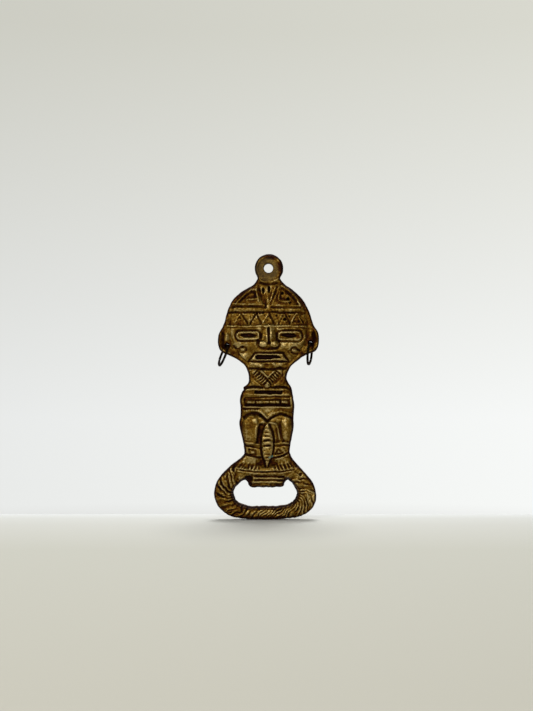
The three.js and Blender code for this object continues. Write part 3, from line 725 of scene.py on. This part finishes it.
# How dark each front point is painted (0 rubbed bright, 1 black), from dirt, patina and stains and from
# painted shade and painted highlights, how worn to grey, and how green
def patinaAndPaintedLight(x, z, outer, mouth, holes, near, wide):
    # painted shade over broad low areas, weaker close to the outline
    wide = np.clip(wide, -1.2, 1.5) * (0.3 + 0.7 * ramp(outer, 1, 4))
    dirtAndPaintedLight = wearAndPaintedLight["overall"] + wearAndPaintedLight["inHollows"] * np.clip(near, -0.35, 0.45) + wearAndPaintedLight["paintedShadeInWideHollows"] * wide
    dirtAndPaintedLight += mounds(x, z, wearAndPaintedLight["paintedLightAndStainSpots"], 0.8)
    dirtAndPaintedLight += 0.1 * lumps(x, z, 4.2, 71) + 0.07 * lumps(x, z, 1.7, 72)
    # darker along the outline and a little for 4 mm in: patina and painted shade of the rounded edge
    dirtAndPaintedLight += wearAndPaintedLight["alongEdgeDirtAndShade"] * bell(outer, 0.85) + 0.08 * ramp(outer, 4, 0.5)
    # painted shade along the bottom of the loop, where it meets the floor
    dirtAndPaintedLight += wearAndPaintedLight["paintedShadeUnderneath"] * ramp(z, 3, 0.9)
    # painted shade on the sloping wall round the mouth: a second dark line low down by the tongue's tip, and
    # the whole wall dark higher up by the pockets
    low = ramp(z, 21.5, 18.5)
    dirtAndPaintedLight += wearAndPaintedLight["paintedShadeInMouth"] * (bell(mouth, 0.55) + low * bell(mouth - 1.6, 0.4))
    dirtAndPaintedLight += 0.5 * (1 - low) * ramp(mouth, 1.9, 1.2)
    lx, lz, rx, rz = wearAndPaintedLight["lug"]
    worn = ramp(1 - ((x - lx) / rx) ** 2 - ((z - lz) / rz) ** 2, 0, 0.5)
    # painted shade round the holes, less on the lug's worn face
    dirtAndPaintedLight += 0.4 * ramp(holes, 1.2, 0.2) * (1 - worn)
    return dirtAndPaintedLight, worn, np.clip(mounds(x, z, wearAndPaintedLight["verdigris"], 0.5), 0, 1)


def addMesh(name, points, faceSets, attributes, material):
    mesh = bpy.data.meshes.new(name)
    loops = np.concatenate([faces.ravel() for faces in faceSets])
    sizes = np.concatenate([np.full(len(faces), faces.shape[1]) for faces in faceSets])
    starts = np.concatenate([[0], np.cumsum(sizes)[:-1]])
    mesh.vertices.add(len(points))
    mesh.vertices.foreach_set("co", points.astype(np.float32).ravel())
    mesh.loops.add(len(loops))
    mesh.loops.foreach_set("vertex_index", loops.astype(np.int32))
    mesh.polygons.add(len(sizes))
    mesh.polygons.foreach_set("loop_start", starts.astype(np.int32))
    mesh.update(calc_edges=True)
    mesh.polygons.foreach_set("use_smooth", np.ones(len(sizes), bool))
    for key, values in attributes.items():
        layer = mesh.attributes.new(key, "FLOAT", "POINT")
        layer.data.foreach_set("value", values.astype(np.float32))
    mesh.materials.append(material)
    piece = bpy.data.objects.new(name, mesh)
    bpy.context.scene.collection.objects.link(piece)
    return piece


# The casting is one closed surface. Its front and back are the same grid of points over the
# silhouette, with the outermost points pulled onto the edge, and rows of points down the edge join them.
def buildCasting(material):
    step, inset = castingShape["gridStep"], castingShape["edgeInset"]
    columns, rows = (np.arange(*castingShape[key], step) for key in ("columns", "rows"))
    gridX, gridZ = np.meshgrid(columns, rows)
    outer, mouth, holes = edgeDistances(gridX, gridZ)
    edge = np.minimum(np.minimum(outer, mouth), holes)

    kept = edge > inset + 0.3 * step
    cells = kept[:-1, :-1] & kept[1:, :-1] & kept[:-1, 1:] & kept[1:, 1:]
    for _ in range(4):  # two cells that touch only at a corner would pinch the edge
        a, b, c, d = cells[:-1, :-1], cells[:-1, 1:], cells[1:, :-1], cells[1:, 1:]
        pinched = (a & d & ~b & ~c) | (b & c & ~a & ~d)
        a &= ~pinched
        b &= ~pinched
    padded = np.pad(cells, 1)
    around = [padded[:-1, :-1], padded[1:, :-1], padded[:-1, 1:], padded[1:, 1:]]
    used = np.any(around, axis=0)
    inner = np.all(around, axis=0)
    rim = used & ~inner

    slopeZ, slopeX = np.gradient(edge, step)
    steep = np.maximum(np.hypot(slopeX, slopeZ), 1e-6)
    slopeX, slopeZ = slopeX / steep, slopeZ / steep
    gridX = gridX - np.where(rim, (edge - inset) * slopeX, 0)
    gridZ = gridZ - np.where(rim, (edge - inset) * slopeZ, 0)
    loose = inner & (edge < inset + 4 * step)
    for _ in range(6):  # even out the points next to the edge
        for grid in (gridX, gridZ):
            mean = sum(np.roll(grid, way, axis) for axis in (0, 1) for way in (1, -1)) / 4
            grid[loose] = mean[loose]

    x, z = gridX[used], gridZ[used]
    outer, mouth, holes = edgeDistances(x, z)
    height = frontHeight(x, z, outer, mouth, holes)
    count = len(x)
    number = np.full(used.shape, -1)
    number[used] = np.arange(count)

    # soften the relief by a share of the mean of the points next to each, as sand does; then find
    # how far each point lies below the mean height close round it, and wider round it
    heightGrid = np.zeros(used.shape)
    heightGrid[used] = height
    soft = castingShape["softening"]
    height = (1 - soft) * height + soft * windowMean(heightGrid, used, 1)[used]
    heightGrid[used] = height
    near = windowMean(heightGrid, used, castingShape["closeRound"])[used] - height
    wide = windowMean(heightGrid, used, castingShape["wideRound"])[used] - height
    dirtAndPaintedLight, worn, green = patinaAndPaintedLight(x, z, outer, mouth, holes, near, wide)
    backY = backHeight - 0.05 - 0.04 * lumps(x, z, 6, 41) - 0.02 * lumps(x, z, 1.1, 42)

    # rows down the edge, as (how far out, height forward) for each rim point. An ear hole's middle row
    # stands further in, so that the hole flares to both faces and the tilted wire clears it.
    rimNumber = number[rim]
    outX, outZ = -slopeX[rim], -slopeZ[rim]
    rimX, rimZ, rimHeight = x[rimNumber], z[rimNumber], height[rimNumber]
    radius = np.where(holes[rimNumber] < 1, castingShape["holeRadius"], castingShape["edgeRadius"])
    startAngle = np.arcsin(1 - inset / radius)
    levels = []
    for share in (0.4, 0.75, 1):
        angle = startAngle + share * (np.pi / 2 - startAngle)
        out = inset - radius * (1 - np.sin(angle))
        drop = radius * (np.cos(startAngle) - np.cos(angle))
        levels.append((out, rimHeight - drop))
    wallTop, wallFoot = levels[-1][1], -backHeight + 0.42
    ripple = 0.08 * (lumps(rimX, rimZ, 1.2, 51) - 1)
    narrowing = np.zeros(len(rimX))
    for hx, hz, hr in castingShape["earHoles"]:
        narrowing[np.hypot(rimX - hx, rimZ - hz) < hr + 1] = hr - castingShape["earThroat"]
    bored = narrowing > 0
    levels.append((np.where(bored, inset + narrowing, inset + ripple),
                   np.where(bored, 0, 0.5 * (wallTop + wallFoot))))
    for tuckedIn, lower in ((0.02, 0), (0.14, 0.29)):
        levels.append((np.full(len(rimX), inset - tuckedIn), np.full(len(rimX), wallFoot - lower)))

    front = np.stack([x, -height, z], 1)
    back = np.stack([x, backY, z], 1)
    edgeRows = [np.stack([rimX + out * outX, -forward, rimZ + out * outZ], 1) for out, forward in levels]

    # front faces, counter-clockwise as seen from the front
    corner = [number[:-1, :-1][cells], number[:-1, 1:][cells], number[1:, 1:][cells], number[1:, :-1][cells]]
    frontFaces = np.stack(corner, 1)

    # the back is plainer: where two by two cells are all inside, one face covers them
    blockRows, blockColumns = cells.shape[0] // 2, cells.shape[1] // 2
    whole = np.ones((blockRows, blockColumns), bool)
    for down in (0, 1):
        for right in (0, 1):
            whole &= cells[down : 2 * blockRows : 2, right : 2 * blockColumns : 2]
    for down in (0, 1, 2):
        for right in (0, 1, 2):
            inside = inner[down : 2 * blockRows + down : 2, right : 2 * blockColumns + right : 2]
            whole &= inside[:blockRows, :blockColumns]
    spread = np.kron(whole, np.ones((2, 2), bool))
    single = cells.copy()
    single[: spread.shape[0], : spread.shape[1]] &= ~spread
    backNumber = number + count
    here, above, across, beside = (backNumber[:-1, :-1], backNumber[1:, :-1], backNumber[1:, 1:],
                                   backNumber[:-1, 1:])
    backSets = [np.stack([grid[single] for grid in (here, above, across, beside)], 1)]
    fence = np.pad(whole, 1)
    joined = {"left": fence[1:-1, :-2], "top": fence[2:, 1:-1],
              "right": fence[1:-1, 2:], "bottom": fence[:-2, 1:-1]}

    def node(down, right):
        picked = backNumber[down : down + 2 * blockRows : 2, right : right + 2 * blockColumns : 2]
        return picked[:blockRows, :blockColumns]

    # clockwise as seen from the front; a side's middle point is used only if the next block is not whole
    outline = [(node(0, 0), None), (node(1, 0), "left"), (node(2, 0), None), (node(2, 1), "top"),
               (node(2, 2), None), (node(1, 2), "right"), (node(0, 2), None), (node(0, 1), "bottom")]
    for pattern in range(16):
        sides = [side for bit, side in enumerate(joined) if pattern >> bit & 1]
        chosen = whole.copy()
        for side, mask in joined.items():
            chosen &= mask if side in sides else ~mask
        corners = [grid[chosen] for grid, side in outline if side is None or side not in sides]
        backSets.append(np.stack(corners, 1))

    # edge faces: every front edge with metal on one side only, walked with the metal on its left
    metalBelow, metalAbove = padded[:-2, 1:-1], padded[2:, 1:-1]
    metalLeft, metalRight = padded[1:-1, :-2], padded[1:-1, 2:]
    starts, ends = [], []
    for open_, first, second in (
        (cells & ~metalBelow, number[:-1, :-1], number[:-1, 1:]),
        (cells & ~metalRight, number[:-1, 1:], number[1:, 1:]),
        (cells & ~metalAbove, number[1:, 1:], number[1:, :-1]),
        (cells & ~metalLeft, number[1:, :-1], number[:-1, :-1]),
    ):
        starts.append(first[open_])
        ends.append(second[open_])
    starts, ends = np.concatenate(starts), np.concatenate(ends)
    rimOrder = np.full(count, -1)
    rimOrder[rimNumber] = np.arange(len(rimNumber))
    ladder = [np.arange(count)]
    for level in range(len(levels)):
        ladder.append(2 * count + level * len(rimNumber) + rimOrder)
    ladder.append(count + np.arange(count))
    edgeFaces = [
        np.stack([upper[ends], upper[starts], lower[starts], lower[ends]], 1)
        for upper, lower in zip(ladder[:-1], ladder[1:])
    ]

    points = np.concatenate([front, back] + edgeRows)
    edgeCount = len(levels) * len(rimNumber)
    backDirt = wearAndPaintedLight["back"] + 0.14 * lumps(x, z, 9, 43) + 0.1 * lumps(x, z, 2.6, 44)
    # the edge rows' darkness: patina and painted shade of the rounded sides, with more painted shade inside
    # the ear holes
    edgeDirtAndShade = wearAndPaintedLight["edge"] + 0.14 * lumps(rimX, rimZ, 3, 45) + wearAndPaintedLight["bored"] * bored
    clean = np.zeros(count + edgeCount)
    attributes = {
        "dirtAndPaintedLight": np.concatenate([dirtAndPaintedLight, backDirt, np.tile(edgeDirtAndShade, len(levels))]),
        "worn": np.concatenate([worn, clean]),
        "green": np.concatenate([green, clean]),
    }
    faceSets = [frontFaces] + backSets + edgeFaces
    usedPoints = np.unique(np.concatenate([faces.ravel() for faces in faceSets]))
    renumber = np.full(len(points), -1)
    renumber[usedPoints] = np.arange(len(usedPoints))
    faceSets = [renumber[faces] for faces in faceSets if len(faces)]
    attributes = {key: values[usedPoints] for key, values in attributes.items()}
    return addMesh("idol_casting", inPlace(points[usedPoints]), faceSets, attributes, material)


earringWire = {
    "left": {"node": "left_earring", "body": "left_ring", "hole": 0, "swing": 22, "yaw": 13, "seed": 5},
    "right": {"node": "right_earring", "body": "right_ring", "hole": 1, "swing": 4.5, "yaw": -13, "seed": 8},
    "radius": 5.98,
    "wire": 0.68,
    "gapAt": 325,
    "gapWidth": 2,
    "steps": 150,
    "sides": 20,
    "tones": [(0.45, (0.005, 0.003, 0.0014)), (0.62, (0.018, 0.009, 0.003)), (0.8, (0.08, 0.044, 0.014))],
    "roughness": (0.42, 0.3),
}


# Points turned by an angle from one axis towards another
def turned(points, first, second, angle):
    result = points.copy()
    result[:, first] = points[:, first] * math.cos(angle) - points[:, second] * math.sin(angle)
    result[:, second] = points[:, first] * math.sin(angle) + points[:, second] * math.cos(angle)
    return result


# A tube along a nearly closed ring. The ring is a circle with a slight wobble, and the tube's radius
# is the wire's, rounding off to nothing close to each end.
def buildEarring(side, material):
    settings = earringWire[side]
    steps, sides, radius, wire = (earringWire[k] for k in ("steps", "sides", "radius", "wire"))
    halfGap = math.radians(earringWire["gapWidth"] / 2)
    start = math.radians(earringWire["gapAt"]) + halfGap
    share = np.linspace(0, 1, steps)
    angle = start + share * (2 * np.pi - 2 * halfGap)
    rng = np.random.default_rng(settings["seed"])
    phases = rng.uniform(0, 2 * np.pi, 3)
    wobble = sum(0.025 * np.sin((k + 2) * angle + phases[k]) for k in range(3))
    reach = radius + wobble
    line = np.stack([0.1 * np.sin(2 * angle + phases[0]) * (1 - np.sin(angle)) / 2,
                     reach * np.cos(angle), reach * np.sin(angle) - radius], 1)
    travel = share * radius * (2 * np.pi - 2 * halfGap)
    fromEnd = np.minimum(travel, travel[-1] - travel)
    tubeRadius = wire * np.sqrt(np.clip(1 - (1 - np.clip(2.5 * fromEnd / wire, 0, 1)) ** 2, 0, 1))
    tubeRadius = np.maximum(tubeRadius, 1e-3) * (1 + 0.03 * np.sin(9 * angle + phases[1]))
    around = np.linspace(0, 2 * np.pi, sides, endpoint=False)
    outwards = np.stack([np.zeros(steps), np.cos(angle), np.sin(angle)], 1)
    sideways = np.array([1, 0, 0])
    tube = line[:, None, :] + tubeRadius[:, None, None] * (
        np.cos(around)[None, :, None] * outwards[:, None, :] + np.sin(around)[None, :, None] * sideways
    )
    points = np.concatenate([tube.reshape(-1, 3), line[[0, -1]]])

    yawed = turned(points, 0, 1, math.radians(settings["yaw"]))
    swung = turned(yawed, 2, 0, math.radians(settings["swing"]))
    holeX, holeZ, _ = castingShape["earHoles"][settings["hole"]]

    ring, spot = np.meshgrid(np.arange(steps - 1), np.arange(sides), indexing="ij")
    here, beside = ring * sides + spot, ring * sides + (spot + 1) % sides
    walls = np.stack([here, beside, beside + sides, here + sides], -1).reshape(-1, 4)
    spokes = np.arange(sides)
    firstCap = np.stack([np.full(sides, steps * sides), (spokes + 1) % sides, spokes], 1)
    lastRow = (steps - 1) * sides
    lastCap = np.stack([np.full(sides, steps * sides + 1), lastRow + spokes,
                        lastRow + (spokes + 1) % sides], 1)
    placed = inPlace(swung + [holeX, 0, holeZ])
    piece = addMesh(f"{side}_ear_ring", placed, [walls, firstCap, lastCap], {}, material)
    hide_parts(settings["node"])
    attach(piece, settings["body"])
    return piece


def newMaterial(name):
    material = bpy.data.materials.new(name)
    material.use_nodes = True
    tree = material.node_tree
    tree.nodes.clear()
    output = tree.nodes.new("ShaderNodeOutputMaterial")
    shader = tree.nodes.new("ShaderNodeBsdfPrincipled")
    tree.links.new(shader.outputs["BSDF"], output.inputs["Surface"])
    return material, tree, shader


def noiseNode(tree, scale, detail, roughness=0.55):
    place = tree.nodes.new("ShaderNodeTexCoord")
    noise = tree.nodes.new("ShaderNodeTexNoise")
    noise.inputs["Scale"].default_value = scale
    noise.inputs["Detail"].default_value = detail
    noise.inputs["Roughness"].default_value = roughness
    tree.links.new(place.outputs["Object"], noise.inputs["Vector"])
    return noise.outputs["Fac"]


def attributeNode(tree, name):
    node = tree.nodes.new("ShaderNodeAttribute")
    node.attribute_name = name
    return node.outputs["Fac"]


def axesNode(tree, space):
    place = tree.nodes.new("ShaderNodeTexCoord")
    split = tree.nodes.new("ShaderNodeSeparateXYZ")
    tree.links.new(place.outputs[space], split.inputs[0])
    return split.outputs


def maths(tree, operation, first, second, third=None, clamp=False):
    node = tree.nodes.new("ShaderNodeMath")
    node.operation = operation
    node.use_clamp = clamp
    for socket, value in zip(node.inputs, (first, second, third)):
        if value is None:
            continue
        if isinstance(value, (int, float)):
            socket.default_value = value
        else:
            tree.links.new(value, socket)
    return node.outputs[0]


def rampNode(tree, value, stops):
    node = tree.nodes.new("ShaderNodeValToRGB")
    elements = node.color_ramp.elements
    while len(elements) < len(stops):
        elements.new(0.5)
    for element, (position, colour) in zip(elements, stops):
        element.position = position
        element.color = (*colour, 1)
    tree.links.new(value, node.inputs["Fac"])
    return node.outputs["Color"]


# Colours given at positions that needn't lie between 0 and 1
def spreadRamp(tree, value, stops):
    first, last = stops[0][0], stops[-1][0]
    share = maths(tree, "DIVIDE", maths(tree, "SUBTRACT", value, first), last - first, clamp=True)
    return rampNode(tree, share, [((position - first) / (last - first), c) for position, c in stops])


def addBump(tree, shader, scale, detail, roughness, strength, distance):
    bump = tree.nodes.new("ShaderNodeBump")
    bump.inputs["Strength"].default_value = strength
    bump.inputs["Distance"].default_value = distance
    tree.links.new(noiseNode(tree, scale, detail, roughness), bump.inputs["Height"])
    tree.links.new(bump.outputs["Normal"], shader.inputs["Normal"])


def mixColour(tree, amount, first, second):
    node = tree.nodes.new("ShaderNodeMix")
    node.data_type = "RGBA"
    factor, a, b = node.inputs[0], node.inputs[6], node.inputs[7]
    tree.links.new(amount, factor)
    for socket, value in ((a, first), (b, second)):
        if isinstance(value, tuple):
            socket.default_value = (*value, 1)
        else:
            tree.links.new(value, socket)
    return node.outputs[2]


agedBrass = {
    "rubbedAndHighlight": (0.378, 0.272, 0.102),
    "golden": (0.185, 0.106, 0.016),
    "brown": (0.095, 0.043, 0.004),
    "tarnish": (0.049, 0.0112, 0.0006),
    "sootAndShade": (0.013, 0.0018, 0.0002),
    "grey": (0.066, 0.049, 0.019),
    "verdigris": (0.10, 0.22, 0.19),
    "clouds": (180, 0.5),       # noise scale, and how much it adds to the dirt or takes from it
    "specks": (950, 1.1),
    "roughness": (0.28, 0.34),  # where clean, and how much more where black
}


# The dirt and painted light and shade at each point, broken up by clouds and specks, picks the colour; the
# brightest colour also serves painted highlights and the darkest painted shade
def brassMaterial():
    material, tree, shader = newMaterial("aged_brass_casting")
    cloudScale, cloudAmount = agedBrass["clouds"]
    speckScale, speckAmount = agedBrass["specks"]
    cloud = noiseNode(tree, cloudScale, 6)
    speck = noiseNode(tree, speckScale, 5, 0.7)
    dirtAndPaintedLight = maths(tree, "MULTIPLY_ADD", cloud, cloudAmount, -cloudAmount / 2)
    dirtAndPaintedLight = maths(tree, "MULTIPLY_ADD", speck, speckAmount, maths(tree, "ADD", dirtAndPaintedLight, -speckAmount / 2))
    dirtAndPaintedLight = maths(tree, "ADD", dirtAndPaintedLight, attributeNode(tree, "dirtAndPaintedLight"), clamp=True)
    brass = rampNode(tree, dirtAndPaintedLight, [
        (0.08, agedBrass["rubbedAndHighlight"]), (0.3, agedBrass["golden"]), (0.5, agedBrass["brown"]),
        (0.7, agedBrass["tarnish"]), (0.92, agedBrass["sootAndShade"]),
    ])
    wornAmount = maths(tree, "MULTIPLY", attributeNode(tree, "worn"), 0.6)
    greyed = mixColour(tree, wornAmount, brass, agedBrass["grey"])
    greenAmount = maths(tree, "MULTIPLY", attributeNode(tree, "green"), 0.85)
    colour = mixColour(tree, greenAmount, greyed, agedBrass["verdigris"])
    tree.links.new(colour, shader.inputs["Base Color"])
    cleanRoughness, dirtRoughness = agedBrass["roughness"]
    roughness = maths(tree, "MULTIPLY_ADD", dirtAndPaintedLight, dirtRoughness, cleanRoughness)
    tree.links.new(roughness, shader.inputs["Roughness"])
    metallic = maths(tree, "MULTIPLY_ADD", dirtAndPaintedLight, -0.45, 1.2, clamp=True)
    tree.links.new(maths(tree, "SUBTRACT", metallic, greenAmount, clamp=True), shader.inputs["Metallic"])
    shader.inputs["Specular IOR Level"].default_value = 0.2
    addBump(tree, shader, scale=1900, detail=5, roughness=0.65, strength=0.6, distance=0.00015)
    return material


def wireMaterial():
    material, tree, shader = newMaterial("dark_wire_patina")
    cloud = noiseNode(tree, 420, 5)
    colour = rampNode(tree, cloud, earringWire["tones"])
    tree.links.new(colour, shader.inputs["Base Color"])
    leastRoughness, cloudRoughness = earringWire["roughness"]
    roughness = maths(tree, "MULTIPLY_ADD", cloud, cloudRoughness, leastRoughness)
    tree.links.new(roughness, shader.inputs["Roughness"])
    shader.inputs["Metallic"].default_value = 0.6
    shader.inputs["Specular IOR Level"].default_value = 0.15
    shader.inputs["Specular Tint"].default_value = (0.35, 0.25, 0.15, 1)
    addBump(tree, shader, scale=1800, detail=4, roughness=0.55, strength=0.3, distance=0.0001)
    return material


floor = {
    "halfWidth": 3,
    "front": -3,
    "back": 3,
    "crest": 0.022,         # behind this line the floor falls away, out of the camera's sight
    "fall": math.radians(12),
    "softness": 0.003,
    # painted light: the floor's colour at distances in front of (-) and behind (+) the object, darker in
    # front and brighter towards the crest to meet the bright surroundings
    "paintedLightByDistance": [(-0.30, (0.557, 0.543, 0.476)), (-0.09, (0.572, 0.569, 0.512)), (-0.02, (0.636, 0.637, 0.60)),
              (0.004, (0.683, 0.69, 0.665)), (0.022, (0.79, 0.805, 0.81))],
}


# Matt paint whose colour follows the distance behind the object, with painted light: brighter towards the
# back
def floorMaterial():
    material, tree, shader = newMaterial("studio_floor_paint")
    colour = spreadRamp(tree, axesNode(tree, "Object")["Y"], floor["paintedLightByDistance"])
    tree.links.new(colour, shader.inputs["Base Color"])
    shader.inputs["Roughness"].default_value = 0.9
    shader.inputs["Specular IOR Level"].default_value = 0.1
    return material


# The floor is level up to its crest, then falls away: its drop is the slope times a softened distance
def buildFloor():
    beyond = np.concatenate([np.linspace(-0.02, 0.04, 25), np.linspace(0.08, floor["back"], 12)])
    soft = floor["softness"]
    drop = math.tan(floor["fall"]) * soft * np.log1p(np.exp(np.minimum(beyond / soft, 60)))
    drop = np.where(beyond / soft > 60, math.tan(floor["fall"]) * beyond, drop)
    section = np.stack([beyond + floor["crest"], -drop + drop[0]], 1)
    section = np.concatenate([[(floor["front"], 0)], section])
    half = floor["halfWidth"]
    left = np.column_stack([np.full(len(section), -half), section])
    right = np.column_stack([np.full(len(section), half), section])
    number = np.arange(len(section) - 1)
    faces = np.stack([number, number + len(section), number + len(section) + 1, number + 1], 1)
    sheet = addMesh("studio_floor", np.concatenate([left, right]), [faces], {}, floorMaterial())


view = {"lens": 52, "sensor": 36, "distance": 0.58, "height": 0.0926}


def addCamera():
    data = bpy.data.cameras.new("camera")
    data.lens = view["lens"]
    data.sensor_fit = "VERTICAL"
    data.sensor_height = view["sensor"]
    data.clip_end = 20
    camera = bpy.data.objects.new("camera", data)
    camera.location = (0, -view["distance"], view["height"])
    camera.rotation_euler = (math.radians(90), 0, 0)
    bpy.context.scene.collection.objects.link(camera)
    bpy.context.scene.camera = camera


# watts, width in metres, place, and the height above the origin that the light points at
lights = {
    "overhead": (6.8, 0.5, (0.05, 0.2, 0.95), 0.05),
    "window": (3.7, 0.35, (-0.75, -0.85, 0.55), 0.08),
    "front": (7.2, 1, (0.1, -1.5, 0.55), 0.08),
}


def addLight(name, energy, size, location, aimHeight):
    data = bpy.data.lights.new(name, "AREA")
    data.shape = "DISK"
    data.size = size
    data.energy = energy
    light = bpy.data.objects.new(name, data)
    light.location = location
    light.visible_camera = False
    light.rotation_euler = (Vector((0, 0, aimHeight)) - Vector(location)).to_track_quat("-Z", "Y").to_euler()
    bpy.context.scene.collection.objects.link(light)


surroundings = {
    # brightness of the pale surroundings behind the object, by the upward part of the direction
    "tones": [(-0.30, (0.70, 0.71, 0.70)), (-0.155, (0.80, 0.81, 0.79)), (-0.141, (0.87, 0.885, 0.87)),
              (-0.06, (0.87, 0.885, 0.875)), (0.06, (0.79, 0.80, 0.775)), (0.30, (0.65, 0.65, 0.585))],
    "rightward": 0.25,      # how much brighter the right side is than the left
    "front": 0.3,           # brightness on the camera's side, as a share of that behind
}


# Soft surroundings: bright behind the object, fading round to a dim front
def addSurroundings():
    world = bpy.data.worlds.new("soft_surroundings")
    world.use_nodes = True
    tree = world.node_tree
    axes = axesNode(tree, "Generated")
    tones = spreadRamp(tree, axes["Z"], surroundings["tones"])
    tree.links.new(tones, tree.nodes["Background"].inputs["Color"])
    facing = tree.nodes.new("ShaderNodeMapRange")
    facing.interpolation_type = "SMOOTHSTEP"
    for socket, value in zip(list(facing.inputs)[1:5], (0.1, 0.85, surroundings["front"], 1)):
        socket.default_value = value
    tree.links.new(axes["Y"], facing.inputs["Value"])
    sideways = maths(tree, "MULTIPLY_ADD", axes["X"], surroundings["rightward"], 1)
    strength = maths(tree, "MULTIPLY", facing.outputs["Result"], sideways)
    tree.links.new(strength, tree.nodes["Background"].inputs["Strength"])
    bpy.context.scene.world = world


addCamera()
addSurroundings()
for name, settings in lights.items():
    addLight(name, *settings)
buildFloor()
print("stage done")

casting = buildCasting(brassMaterial())
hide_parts("casting")
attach(casting, "opener")
casting.data.calc_loop_triangles()
print("casting:", len(casting.data.loop_triangles), "triangles")

wire = wireMaterial()
for side in ("left", "right"):
    buildEarring(side, wire)
print("earrings done")

bpy.context.scene.view_settings.view_transform = "Standard"
